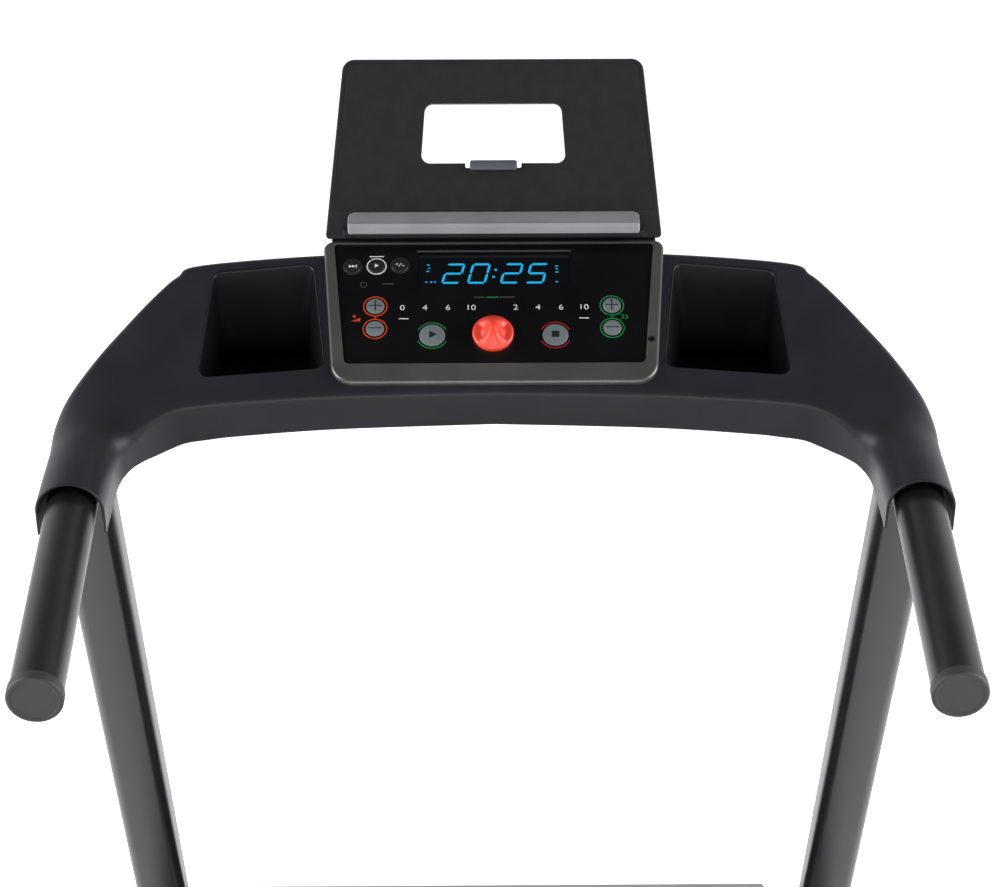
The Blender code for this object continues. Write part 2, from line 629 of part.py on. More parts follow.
def build_holder():
    corners = tapered(HOLDER_BOTTOM_WIDTH, HOLDER_TOP_WIDTH, HOLDER_FOOT, HOLDER_LENGTH)
    back = slab("tablet_holder_back", rounded(corners, [0.004, 0.004, 0.013, 0.013]), on_holder,
                -HOLDER_THICKNESS, 0.0, "shell_plastic")
    taper = (HOLDER_BOTTOM_WIDTH - HOLDER_TOP_WIDTH) / HOLDER_LENGTH
    mat_low = LEDGE_TOP + 0.0005
    mat_high = HOLDER_LENGTH - MAT_MARGIN

    def mat_corners(shrink):
        low_width = HOLDER_BOTTOM_WIDTH - taper * mat_low - 2 * MAT_MARGIN - 2 * shrink
        high_width = HOLDER_BOTTOM_WIDTH - taper * mat_high - 2 * MAT_MARGIN - 2 * shrink
        return tapered(low_width, high_width, mat_low + shrink, mat_high - shrink)

    recess = rounded(mat_corners(0.0), [0.003, 0.003, 0.009, 0.009])
    cut(back, slab("mat_recess", recess, on_holder, -MAT_SINK, 0.010, None))
    window = rounded(tapered(WINDOW_LOW_WIDTH, WINDOW_HIGH_WIDTH, WINDOW_LOW, WINDOW_HIGH), 0.009)
    notch = tapered(CLIP_WIDTH + 0.0090, CLIP_WIDTH + 0.0090, WINDOW_LOW - 0.0048, WINDOW_LOW + 0.010)
    mat = slab("tablet_mat", rounded(mat_corners(GAP), [0.003, 0.003, 0.009, 0.009]), on_holder,
               -MAT_SINK + GAP, -MAT_SINK + GAP + MAT_THICKNESS, "soft_mat")
    for plate in (back, mat):
        cut(plate, slab("window_hole", window, on_holder, -0.030, 0.020, None))
        cut(plate, slab("notch_hole", notch, on_holder, -0.030, 0.020, None))

    rear_wall = HOOD_MOUTH_Y + MIDDLE_OUTER_Y + GAP
    foot_low = HANDLE_HEIGHT + 0.035
    bezel_foot = on_panel(0, BEZEL_LENGTH, -BEZEL_HEIGHT)
    neck_front = bezel_foot.y + 0.0015
    neck_top = on_holder(0, 0.006, -HOLDER_THICKNESS).z
    flange = box("flange", (-0.145, rear_wall, foot_low), (0.145, neck_front + 0.007, bezel_foot.z - 0.002))
    join(flange, box("neck", (-0.142, neck_front, foot_low + 0.010), (0.142, neck_front + 0.0065, neck_top)))
    join(back, flange)
    paint(back, "shell_plastic")

    top = on_holder(0, LEDGE_TOP, GAP)
    low_back = on_holder(0, LEDGE_TOP - LEDGE_HEIGHT / math.cos(HOLDER_LEAN), GAP)
    front_y = top.y - LEDGE_DEPTH
    profile = [(front_y, top.z), (top.y, top.z), (low_back.y, low_back.z), (front_y, low_back.z)]
    prism("tablet_ledge", profile, "X", -LEDGE_LENGTH / 2, LEDGE_LENGTH / 2, "ledge_grey")

    clip_low = WINDOW_LOW - 0.0045
    neck = rounded(tapered(CLIP_WIDTH, CLIP_WIDTH, clip_low, clip_low + 0.0065), 0.002)
    clip = slab("tablet_clip", neck, on_holder, -HOLDER_THICKNESS - 0.0040, 0.0035, "key_dark")
    hook = rounded(tapered(CLIP_WIDTH, CLIP_WIDTH, clip_low - 0.0032, clip_low + 0.0072), 0.0025)
    join(clip, slab("hook", hook, on_holder, 0.0008, 0.0075, None))
    runner = tapered(CLIP_WIDTH - 0.006, CLIP_WIDTH - 0.006, WINDOW_LOW - 0.055, clip_low + 0.004)
    join(clip, slab("runner", runner, on_holder, -HOLDER_THICKNESS - 0.0038, -HOLDER_THICKNESS - 0.0010,
                    None))
    paint(clip, "key_dark")
    body("tablet_clip", on_holder(0, clip_low, 0))
    ride(clip, "tablet_clip")


# ---- Uprights and handlebars ----------------------------------------------------------------------------
def upright_top():
    return HANDLE_HEIGHT - HANDLE_RADIUS - 0.013


def upright_y(z):
    return HOOD_MOUTH_Y + UPRIGHT_SETBACK + (HANDLE_HEIGHT - z) * math.tan(UPRIGHT_LEAN)


def upright_outline(x, z, grow=0.0):
    half_width = UPRIGHT_WIDTH / 2 + grow
    half_depth = UPRIGHT_DEPTH / 2 + grow
    corners = [(-half_width, -half_depth), (half_width, -half_depth), (half_width, half_depth),
               (-half_width, half_depth)]
    return [(x + px, upright_y(z) + py, z) for px, py in rounded(corners, UPRIGHT_CORNER + grow)]


def build_uprights():
    bottom = RAIL_TOP + GAP
    top = upright_top()
    for side, sign in SIDES:
        x = sign * UPRIGHT_X
        rings = [upright_outline(x, bottom), upright_outline(x, top),
                 upright_outline(x, top, -UPRIGHT_WALL), upright_outline(x, bottom, -UPRIGHT_WALL)]
        make_object(f"{side}_upright", loft_mesh(rings, wrap=True), "painted_steel")

        mouth = HOOD_MOUTH_Y
        hand_x = sign * HANDLE_X
        face = mouth - HANDLE_REACH
        start = face + CAP_LENGTH + GAP
        inner = HANDLE_RADIUS - HANDLE_WALL
        profile = disc_profile(HANDLE_RADIUS, start, mouth + HANDLE_TAIL, inner)
        turned(f"{side}_handlebar", profile, (hand_x, 0, HANDLE_HEIGHT), (0, 1, 0), "painted_steel", 32)
        rim = HANDLE_RADIUS + CAP_PROUD
        plug = inner - GAP
        cap = [(0.0, face), (rim - 0.0030, face), (rim, face + 0.0030), (rim, face + CAP_LENGTH),
               (plug, face + CAP_LENGTH), (plug, face + CAP_LENGTH + 0.018), (0.0, face + CAP_LENGTH + 0.018)]
        turned(f"{side}_handlebar_cap", cap, (hand_x, 0, HANDLE_HEIGHT), (0, 1, 0), "rubber_black", 32)


# ---- Base -----------------------------------------------------------------------------------------------
def build_base():
    boxes = []
    for sign in (-1, 1):
        edges = sorted((sign * RAIL_IN, sign * RAIL_OUT))
        boxes.append(((edges[0], RAIL_REAR_Y, RAIL_BOTTOM), (edges[1], FRONT_Y, RAIL_TOP)))
    cross = RAIL_IN + 0.010
    front_cross = (FRONT_Y - 0.100, FRONT_Y - 0.058)
    rear_cross = (RAIL_REAR_Y + 0.030, RAIL_REAR_Y + 0.070)
    for low, high in (front_cross, rear_cross):
        boxes.append(((-cross, low, RAIL_BOTTOM + 0.003), (cross, high, RAIL_TOP - 0.012)))
    frame = channel_frame("base_frame", boxes, CHANNEL_WALL, "painted_steel")
    wheel_y = FRONT_Y - WHEEL_RADIUS
    wheel_z = WHEEL_RADIUS + 0.0015
    wheel_out = RAIL_IN - 0.010
    wheel_in = wheel_out - WHEEL_WIDTH
    for side, sign in SIDES:
        axle = turned("stub_axle", disc_profile(WHEEL_AXLE_RADIUS, wheel_in - 0.004, RAIL_IN + 0.001),
                      (0, wheel_y, wheel_z), (sign, 0, 0), None, 16)
        join(frame, axle)
        pin_hole = turned("pin_hole", disc_profile(LIFT_PIN_RADIUS + 0.0005, RAIL_IN - 0.01, RAIL_IN + 0.03),
                          (0, LIFT_Y, LIFT_Z), (sign, 0, 0), None, 16)
        cut(frame, pin_hole)
        profile = [(WHEEL_AXLE_RADIUS + 0.0005, wheel_in), (WHEEL_RADIUS - 0.003, wheel_in),
                   (WHEEL_RADIUS, wheel_in + 0.003), (WHEEL_RADIUS, wheel_out - 0.003),
                   (WHEEL_RADIUS - 0.003, wheel_out), (WHEEL_AXLE_RADIUS + 0.0005, wheel_out)]
        name = f"{side}_transport_wheel"
        body(name, (sign * (wheel_in + wheel_out) / 2, wheel_y, wheel_z))
        ride(turned(name, profile, (0, wheel_y, wheel_z), (sign, 0, 0), "rubber_black", 28), name)

        for where, y in (("rear", RAIL_REAR_Y + 0.020), ("front", FRONT_Y - 0.150)):
            edges = sorted((sign * (RAIL_IN + 0.006), sign * (RAIL_OUT - 0.006)))
            pad = [(edges[0], y), (edges[1], y), (edges[1], y + 0.040), (edges[0], y + 0.040)]
            prism(f"{side}_{where}_foot", rounded(pad, 0.006, 3), "Z", 0.0, RAIL_BOTTOM - GAP, "rubber_black")

        low = RAIL_TOP + GAP
        high = RAIL_TOP + 0.085
        x_in = RAIL_IN - 0.0075
        x_out = RAIL_OUT + 0.0022
        rings = []
        for z, inset in ((low, 0.0), (low + 0.045, 0.0015), (high, 0.0040)):
            y = upright_y(z)
            half = 0.052 - (z - low) * 0.22
            corners = [(x_in + inset / 4, y - half), (x_out - inset / 4, y - half),
                       (x_out - inset / 4, y + half), (x_in + inset / 4, y + half)]
            outline = rounded(corners, [0.004, 0.012, 0.012, 0.004])
            rings.append([(sign * px, py, z) for px, py in outline])
        cover = make_object(f"{side}_upright_cover", loft_mesh(rings), "shell_plastic")
        hole = [upright_outline(sign * UPRIGHT_X, z, 0.0006) for z in (low - 0.02, high + 0.02)]
        cut(cover, make_object("cover_hole", loft_mesh(hole), None))
        paint(cover, "shell_plastic")
    paint(frame, "painted_steel")


# ---- Lift frame and incline actuator --------------------------------------------------------------------
def build_lift():
    body("lift_frame", (0, LIFT_Y, LIFT_Z))
    tube = turned("lift_frame", disc_profile(LIFT_TUBE_RADIUS, -LIFT_ARM_IN - 0.004, LIFT_ARM_IN + 0.004),
                  (0, LIFT_Y, LIFT_Z),
                  (1, 0, 0), "painted_steel", 20)
    for sign in (-1, 1):
        join(tube, turned("pin", disc_profile(LIFT_PIN_RADIUS, LIFT_ARM_OUT - 0.004, RAIL_IN + 0.012),
                          (0, LIFT_Y, LIFT_Z), (sign, 0, 0), None, 16))
        start = Vector((LIFT_Y, LIFT_Z))
        end = Vector((PIVOT_Y, PIVOT_Z))
        along = (end - start).normalized()
        side = Vector((-along.y, along.x)) * 0.018
        back = start - along * 0.010
        ahead = end + along * 0.020
        bar = rounded([back - side, ahead - side, ahead + side, back + side], [0.008, 0.016, 0.016, 0.008])
        edges = sorted((sign * LIFT_ARM_IN, sign * LIFT_ARM_OUT))
        join(tube, prism("lift_bar", bar, "X", edges[0], edges[1], None))
    crank = [(LIFT_Y - 0.012, LIFT_Z), (LIFT_Y + 0.012, LIFT_Z),
             (LIFT_Y + 0.009, LIFT_Z + CRANK_LENGTH + 0.006),
             (LIFT_Y - 0.009, LIFT_Z + CRANK_LENGTH + 0.006)]
    for x in (-0.016, 0.010):
        join(tube, prism("crank", crank, "X", x, x + 0.006, None))
    cut(tube, turned("pivot_hole", disc_profile(PIVOT_RADIUS + 0.0003, -0.5, 0.5), (0, PIVOT_Y, PIVOT_Z),
                     (1, 0, 0),
                     None, 20))
    paint(tube, "painted_steel")
    ride(tube, "lift_frame")

    body("pivot_shaft", (0, PIVOT_Y, PIVOT_Z), "lift_frame")
    ride(turned("pivot_shaft", disc_profile(PIVOT_RADIUS, -LIFT_ARM_OUT - 0.003, LIFT_ARM_OUT + 0.003),
                (0, PIVOT_Y, PIVOT_Z), (1, 0, 0), "bare_steel", 20), "pivot_shaft")

    tip = Vector((0, LIFT_Y, LIFT_Z + CRANK_LENGTH))
    anchor = Vector((0, FRONT_Y - 0.120, RAIL_BOTTOM + 0.026))
    axis = (tip - anchor).normalized()
    reach = (tip - anchor).length
    motor = turned("incline_motor", [(0.0, 0.0), (0.020, 0.0), (0.020, 0.085), (0.0145, 0.090),
                                     (0.0145, reach - 0.190),
                                     (0.0095, reach - 0.190), (0.0095, 0.095), (0.0, 0.095)],
                   anchor, axis, "motor_black", 20)
    side_motor = turned("side_motor", disc_profile(0.019, 0.022, 0.130), anchor + Vector((0.043, 0, 0)), axis,
                        None, 20)
    bridge = box("bridge", anchor + Vector((0.0, -0.070, -0.012)), anchor + Vector((0.045, -0.030, 0.012)))
    join(bridge, side_motor)
    join(motor, bridge)
    paint(motor, "motor_black")
    body("incline_screw", tip)
    screw = turned("incline_screw", disc_profile(0.0085, 0.105, reach - 0.005), anchor, axis, "bare_steel",
                   16)
    eye = turned("eye", disc_profile(0.0110, -0.0088, 0.0088), tip, (1, 0, 0), None, 16)
    join(screw, eye)
    paint(screw, "bare_steel")
    ride(screw, "incline_screw")


# ---- Deck -----------------------------------------------------------------------------------------------
def build_deck():
    body("deck", (0, PIVOT_Y, PIVOT_Z), "pivot_shaft")
    deck_pieces = []
    boxes = []
    rail_front = PIVOT_Y + 0.022
    rail_rear = REAR_Y + 0.062
    for sign in (-1, 1):
        edges = sorted((sign * DECK_RAIL_IN, sign * DECK_RAIL_OUT))
        boxes.append(((edges[0], rail_rear, DECK_RAIL_BOTTOM), (edges[1], rail_front, DECK_RAIL_TOP)))
    cross = DECK_RAIL_IN + 0.010
    for y in (-0.780, -0.260, 0.230, 0.560):
        boxes.append(((-cross, y, DECK_RAIL_BOTTOM), (cross, y + 0.036, DECK_RAIL_BOTTOM + 0.026)))
    frame = channel_frame("deck_frame", boxes, CHANNEL_WALL, "painted_steel")
    cut(frame, turned("pivot_hole", disc_profile(PIVOT_RADIUS + 0.0003, -0.5, 0.5), (0, PIVOT_Y, PIVOT_Z),
                      (1, 0, 0),
                      None, 20))
    paint(frame, "painted_steel")
    deck_pieces.append(frame)

    board_half = DECK_RAIL_OUT - 0.002
    deck_pieces.append(box("running_board", (-board_half, BOARD_REAR_Y, BOARD_BOTTOM),
                           (board_half, BOARD_FRONT_Y, BOARD_TOP), "wood_board", 0.0015))

    inner = ROLLER_RADIUS + GAP
    outer = inner + BELT_THICKNESS
    loops = []
    for radius in (outer, inner):
        loop = []
        for centre, first in ((FRONT_ROLLER_Y, -90), (REAR_ROLLER_Y, 90)):
            for step in range(13):
                angle = math.radians(first + 15 * step)
                loop.append((centre + radius * math.cos(angle), ROLLER_Z + radius * math.sin(angle)))
        loops.append(loop)
    half = BELT_WIDTH / 2
    rings = []
    for loop, x in ((loops[0], -half), (loops[0], half), (loops[1], half), (loops[1], -half)):
        rings.append([(x, y, z) for y, z in loop])
    deck_pieces.append(make_object("walking_belt", loft_mesh(rings, wrap=True), "belt_black"))

    rail_low = DECK_RAIL_BOTTOM + 0.006
    wall = FOOT_RAIL_WALL
    inner_x = BELT_WIDTH / 2 + 0.008
    lip = BELT_TOP + 0.0010
    foot_profile = [(inner_x, lip), (inner_x, FOOT_RAIL_TOP - 0.002), (inner_x + 0.003, FOOT_RAIL_TOP),
                    (DECK_HALF - 0.006, FOOT_RAIL_TOP), (DECK_HALF, FOOT_RAIL_TOP - 0.006), (DECK_HALF,
                                                                                             rail_low),
                    (DECK_HALF - wall, rail_low), (DECK_HALF - wall, FOOT_RAIL_TOP - wall - 0.003),
                    (inner_x + wall, FOOT_RAIL_TOP - wall - 0.003), (inner_x + wall, lip)]
    cap_front = REAR_Y + 0.060
    for side, sign in SIDES:
        profile = [(sign * x, z) for x, z in foot_profile]
        deck_pieces.append(prism(f"{side}_foot_rail", profile, "Y", cap_front + GAP, HOOD_REAR_Y - GAP,
                                 "shell_plastic"))
        corners = [(REAR_Y, 0.004), (REAR_Y + 0.004, 0.0), (cap_front - 0.002, 0.0), (cap_front, 0.002),
                   (cap_front, FOOT_RAIL_TOP + 0.003), (REAR_Y + 0.022, FOOT_RAIL_TOP + 0.003), (REAR_Y,
                    FOOT_RAIL_TOP - 0.020)]
        edges = sorted((sign * inner_x, sign * (DECK_HALF + 0.0015)))
        cap = prism(f"{side}_rear_end_cap", corners, "X", edges[0], edges[1], "shell_plastic")
        deck_pieces.append(cap)

    drum = BELT_WIDTH / 2 + 0.003
    stub = 0.006
    rear = [(0.0, -drum - 0.004), (stub, -drum - 0.004), (stub, -drum), (ROLLER_RADIUS, -drum),
            (ROLLER_RADIUS, drum),
            (stub, drum), (stub, drum + 0.004), (0.0, drum + 0.004)]
    body("rear_roller", (0, REAR_ROLLER_Y, ROLLER_Z), "deck")
    ride(turned("rear_roller", rear, (0, REAR_ROLLER_Y, ROLLER_Z), (1, 0, 0), "bare_steel", 28),
         "rear_roller")
    pulley_in = DECK_RAIL_IN - 0.018
    pulley_out = DECK_RAIL_IN - 0.004
    front = [(0.0, -DECK_RAIL_IN + 0.0008), (stub, -DECK_RAIL_IN + 0.0008), (stub, -drum),
             (ROLLER_RADIUS, -drum),
             (ROLLER_RADIUS, drum), (stub, drum), (stub, pulley_in), (PULLEY_RADIUS, pulley_in),
             (PULLEY_RADIUS, pulley_out), (stub, pulley_out), (stub, DECK_RAIL_IN - 0.0008),
             (0.0, DECK_RAIL_IN - 0.0008)]
    body("front_roller", (0, FRONT_ROLLER_Y, ROLLER_Z), "deck")
    ride(turned("front_roller", front, (0, FRONT_ROLLER_Y, ROLLER_Z), (1, 0, 0), "bare_steel", 28),
         "front_roller")

    build_motor_bay(deck_pieces, pulley_in, pulley_out)
    for piece in deck_pieces:
        ride(piece, "deck")


def drive_belt_loop(radius_add):
    """Outline of the drive belt round the two pulleys, in the YZ plane."""
    first = Vector((FRONT_ROLLER_Y, ROLLER_Z))
    second = Vector((MOTOR_Y, MOTOR_Z))
    big = PULLEY_RADIUS + radius_add
    small = MOTOR_PULLEY_RADIUS + radius_add
    span = second - first
    base = math.atan2(span.y, span.x)
    wrap = math.acos((big - small) / span.length)
    loop = []
    for step in range(17):
        angle = base + wrap + (math.tau - 2 * wrap) * step / 16
        loop.append(first + Vector((math.cos(angle), math.sin(angle))) * big)
    for step in range(9):
        angle = base - wrap + 2 * wrap * step / 8
        loop.append(second + Vector((math.cos(angle), math.sin(angle))) * small)
    return loop


def build_motor_bay(deck_pieces, pulley_in, pulley_out):
    half = DECK_HALF - 0.008
    low = HOOD_RIM
    top = HOOD_HEIGHT
    outline = [(HOOD_FRONT_Y, low), (HOOD_FRONT_Y, low + 0.055), (HOOD_FRONT_Y - 0.010, top - 0.045),
               (HOOD_FRONT_Y - 0.040, top - 0.015), (HOOD_FRONT_Y - 0.085, top), (HOOD_REAR_Y + 0.090, top),
               (HOOD_REAR_Y + 0.040, top - 0.018), (HOOD_REAR_Y, FOOT_RAIL_TOP), (HOOD_REAR_Y, low)]
    hood = prism("motor_hood", outline, "X", -half, half, "shell_plastic")
    wall = 0.003
    inside = [(HOOD_FRONT_Y - wall, low - 0.01), (HOOD_FRONT_Y - wall, low + 0.054),
              (HOOD_FRONT_Y - 0.013, top - 0.047), (HOOD_FRONT_Y - 0.042, top - 0.018),
              (HOOD_FRONT_Y - 0.086, top - wall), (HOOD_REAR_Y + 0.091, top - wall),
              (HOOD_REAR_Y + 0.042, top - 0.021), (HOOD_REAR_Y + wall,
                                                   FOOT_RAIL_TOP - 0.002), (HOOD_REAR_Y + wall, low - 0.01)]
    cut(hood, prism("hood_inside", inside, "X", -half + wall, half - wall, None))
    switch_x, inlet_x, panel_z = -0.190, -0.250, low + 0.030
    cut(hood, box("switch_hole", (switch_x - 0.011, HOOD_FRONT_Y - 0.02, panel_z - 0.016),
                  (switch_x + 0.011, HOOD_FRONT_Y + 0.02, panel_z + 0.016)))
    cut(hood, box("inlet_hole", (inlet_x - 0.0145, HOOD_FRONT_Y - 0.02, panel_z - 0.012),
                  (inlet_x + 0.0145, HOOD_FRONT_Y + 0.02, panel_z + 0.012)))
    rear_cut = HOOD_REAR_Y + wall + 0.001
    rail_clear = DECK_RAIL_OUT + 0.002
    cut(hood, box("rail_slot", (-rail_clear, HOOD_REAR_Y - 0.01, low - 0.02),
                  (rail_clear, rear_cut, DECK_RAIL_TOP + 0.002)))
    cut(hood, box("belt_slot", (pulley_in - 0.012, HOOD_REAR_Y - 0.01, low - 0.02),
                  (pulley_out + 0.006, rear_cut, ROLLER_Z + PULLEY_RADIUS + 0.010)))
    paint(hood, "shell_plastic")
    deck_pieces.append(hood)

    inlet = box("power_inlet", (inlet_x - 0.0142, HOOD_FRONT_Y - 0.022, panel_z - 0.0117),
                (inlet_x + 0.0142, HOOD_FRONT_Y + 0.0015, panel_z + 0.0117), "key_dark", 0.0008)
    cut(inlet, box("inlet_recess", (inlet_x - 0.0115, HOOD_FRONT_Y - 0.014, panel_z - 0.009),
                   (inlet_x + 0.0115, HOOD_FRONT_Y + 0.01, panel_z + 0.009)))
    for x, z in ((-0.006, 0.0), (0.006, 0.0), (0.0, 0.004)):
        join(inlet, box("blade", (inlet_x + x - 0.001, HOOD_FRONT_Y - 0.015, panel_z + z - 0.002),
                        (inlet_x + x + 0.001, HOOD_FRONT_Y - 0.003, panel_z + z + 0.002)))
    paint(inlet, "key_dark")
    deck_pieces.append(inlet)
    rocker_y = HOOD_FRONT_Y - 0.004
    rocker = [(rocker_y - 0.006, panel_z - 0.0125), (rocker_y + 0.0045, panel_z - 0.0135),
              (rocker_y + 0.0035, panel_z), (rocker_y + 0.0075, panel_z + 0.0135), (rocker_y - 0.006,
                                                                                    panel_z + 0.0125)]
    body("power_switch", (switch_x, rocker_y, panel_z), "deck")
    ride(prism("power_switch", rocker, "X", switch_x - 0.0100, switch_x + 0.0100, "key_dark"), "power_switch")

    pan_top = DECK_RAIL_BOTTOM + 0.009
    pan = box("belly_pan", (-DECK_RAIL_IN + 0.001, 0.602, pan_top - 0.003),
              (DECK_RAIL_IN - 0.001, PIVOT_Y - 0.016, pan_top),
              "shell_plastic", 0.0008)
    deck_pieces.append(pan)

    motor = turned("drive_motor", [(0.0, -0.030), (MOTOR_RADIUS, -0.030), (MOTOR_RADIUS, 0.170),
                                   (0.0, 0.170)],
                   (0, MOTOR_Y, MOTOR_Z), (1, 0, 0), "motor_black", 24)
    foot = box("motor_foot", (0.0, MOTOR_Y - 0.045, pan_top + GAP), (0.140, MOTOR_Y + 0.045, MOTOR_Z - 0.020))
    join(motor, foot)
    paint(motor, "motor_black")
    deck_pieces.append(motor)
    flywheel_in = 0.1705
    profile = [(0.0, flywheel_in), (0.052, flywheel_in), (0.052, flywheel_in + 0.030),
               (0.009, flywheel_in + 0.030),
               (0.009, pulley_in), (MOTOR_PULLEY_RADIUS, pulley_in), (MOTOR_PULLEY_RADIUS, pulley_out), (0.0,
                pulley_out)]
    body("motor_pulley", (0, MOTOR_Y, MOTOR_Z), "deck")
    ride(turned("motor_pulley", profile, (0, MOTOR_Y, MOTOR_Z), (1, 0, 0), "bare_steel", 28), "motor_pulley")
    outside = drive_belt_loop(GAP + 0.003)
    within = drive_belt_loop(GAP)
    rings = []
    for loop, x in ((outside, pulley_in), (outside, pulley_out), (within, pulley_out), (within, pulley_in)):
        rings.append([(x, point.x, point.y) for point in loop])
    deck_pieces.append(make_object("drive_belt", loft_mesh(rings, wrap=True), "rubber_black"))
    deck_pieces.append(box("motor_controller", (-0.250, 0.620, pan_top + GAP),
                           (-0.070, 0.770, pan_top + 0.050),
                           "motor_black", 0.003))


build_console()
build_panel()
build_holder()
build_uprights()
build_base()
build_lift()
build_deck()
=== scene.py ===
# %% [markdown]
# # A home treadmill
# Two leaning uprights carry a moulded console with storage trays, a control panel and a tablet holder.
# Straight handlebars come out of the console's arms, and a folding deck with its motor stands below.
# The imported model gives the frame, the joints and every size. This script adds finer shells, printed
# markings and real surface finishes around it, and each piece rides on the body that it belongs to.

# %% Load the frame
import json
import math

import bmesh
import bpy
from mathutils import Matrix, Vector

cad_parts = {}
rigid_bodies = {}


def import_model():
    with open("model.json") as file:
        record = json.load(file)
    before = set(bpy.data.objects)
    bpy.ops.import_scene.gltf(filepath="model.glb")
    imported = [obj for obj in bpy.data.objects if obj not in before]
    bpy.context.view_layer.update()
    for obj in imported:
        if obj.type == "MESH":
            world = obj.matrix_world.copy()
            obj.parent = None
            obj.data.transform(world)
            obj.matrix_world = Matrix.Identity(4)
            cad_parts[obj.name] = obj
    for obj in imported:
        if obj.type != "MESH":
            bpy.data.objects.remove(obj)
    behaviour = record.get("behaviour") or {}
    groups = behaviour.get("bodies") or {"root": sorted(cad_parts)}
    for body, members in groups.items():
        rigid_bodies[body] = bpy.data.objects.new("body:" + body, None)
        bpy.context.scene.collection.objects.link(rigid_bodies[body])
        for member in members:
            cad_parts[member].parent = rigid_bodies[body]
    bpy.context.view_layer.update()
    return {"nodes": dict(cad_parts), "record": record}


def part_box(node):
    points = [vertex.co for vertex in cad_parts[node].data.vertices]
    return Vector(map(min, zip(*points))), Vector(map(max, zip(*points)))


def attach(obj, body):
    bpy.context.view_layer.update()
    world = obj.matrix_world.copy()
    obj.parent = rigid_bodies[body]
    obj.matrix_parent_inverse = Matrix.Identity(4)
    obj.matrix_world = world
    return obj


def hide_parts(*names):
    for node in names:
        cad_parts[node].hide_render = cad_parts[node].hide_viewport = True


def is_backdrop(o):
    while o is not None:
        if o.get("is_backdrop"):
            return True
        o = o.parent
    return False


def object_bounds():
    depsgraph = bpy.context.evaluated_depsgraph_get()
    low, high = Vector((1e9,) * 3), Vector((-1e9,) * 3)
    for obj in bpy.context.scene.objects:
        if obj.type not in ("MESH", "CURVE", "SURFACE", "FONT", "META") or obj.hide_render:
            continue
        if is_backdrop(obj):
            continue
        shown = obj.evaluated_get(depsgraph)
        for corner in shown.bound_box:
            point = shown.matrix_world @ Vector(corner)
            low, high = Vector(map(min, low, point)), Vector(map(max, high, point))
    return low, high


for old in list(bpy.data.objects):
    bpy.data.objects.remove(old, do_unlink=True)
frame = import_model()
MM = 0.001

# %% [markdown]
# ## Camera and studio
# The camera looks down at the console from where a standing user's head would be, through a long lens.
# A pale floor that glows a little and a world that is white at eye level and dim overhead stand for a
# photo studio. The dim ceiling is what the panel mirrors, so it stays black. Two tall softboxes, one on
# each side, draw the bright lines along the round tubes, and a large one in front lifts the flat tops.

# %% Camera
LENS_MM = 101.25
CAMERA_PLACE = Vector((-0.0141, -1.8143, 2.8199))
CAMERA_PITCH = math.radians(35.4)
CAMERA_YAW = math.radians(0.47)

scene = bpy.context.scene
camera_data = bpy.data.cameras.new("camera")
camera_data.lens = LENS_MM
camera_data.sensor_width = 36.0
camera = bpy.data.objects.new("camera", camera_data)
camera.location = CAMERA_PLACE
camera.rotation_euler = (math.radians(90.0) - CAMERA_PITCH, 0.0, -CAMERA_YAW)
scene.collection.objects.link(camera)
scene.camera = camera

# %% Lights and world
SKY_LEVELS = ((0.0, 1.0), (0.22, 1.0), (0.45, 0.50), (0.75, 0.06))

scene.view_settings.view_transform = "Standard"
world = bpy.data.worlds.new("studio")
scene.world = world
world.use_nodes = True
sky_tree = world.node_tree
sky_place = sky_tree.nodes.new("ShaderNodeTexCoord")
sky_height = sky_tree.nodes.new("ShaderNodeSeparateXYZ")
sky_ramp = sky_tree.nodes.new("ShaderNodeValToRGB")
sky_tree.links.new(sky_place.outputs["Generated"], sky_height.inputs["Vector"])
sky_tree.links.new(sky_height.outputs["Z"], sky_ramp.inputs["Fac"])
sky_tree.links.new(sky_ramp.outputs["Color"], sky_tree.nodes["Background"].inputs["Color"])
sky_bands = sky_ramp.color_ramp.elements
sky_bands[1].position = SKY_LEVELS[-1][0]
for place, _ in SKY_LEVELS[1:-1]:
    sky_bands.new(place)
for band, (_, level) in zip(sky_bands, SKY_LEVELS):
    band.color = (level, level, level, 1.0)


def softbox(name, place, aim, width, height, power):
    data = bpy.data.lights.new(name, "AREA")
    data.shape = "RECTANGLE"
    data.size = width
    data.size_y = height
    data.energy = power
    light = bpy.data.objects.new(name, data)
    light.location = place
    light.rotation_euler = (Vector(aim) - Vector(place)).to_track_quat("-Z", "Y").to_euler()
    scene.collection.objects.link(light)


softbox("left_softbox", (-2.6, 0.1, 1.9), (-0.3, 0.3, 1.1), 1.8, 2.4, 95.0)
softbox("right_softbox", (2.6, 0.1, 1.9), (0.3, 0.3, 1.1), 1.8, 2.4, 95.0)
softbox("front_softbox", (0.0, -3.4, 2.6), (0.0, 0.3, 1.2), 2.4, 1.2, 40.0)

# %% [markdown]
# ## Building helpers
# Every new piece is made in world places, with its object at the origin, as the frame's own nodes are.
# `sweep` pulls a chain of edges from one section to the next, which suits shells, tubes and trims whose
# section changes on the way. `plate` gives a flat outline thickness and softens its rim.

# %% Mesh helpers
SHARP = math.radians(32.0)


def close_doubles(bm):
    bmesh.ops.remove_doubles(bm, verts=bm.verts, dist=1e-6)
    bmesh.ops.recalc_face_normals(bm, faces=bm.faces)


def soften_edges(bm, edges, offset, segments):
    bmesh.ops.bevel(bm, geom=edges, offset=offset, segments=segments, profile=0.5, affect="EDGES",
                    material=-1, clamp_overlap=True)


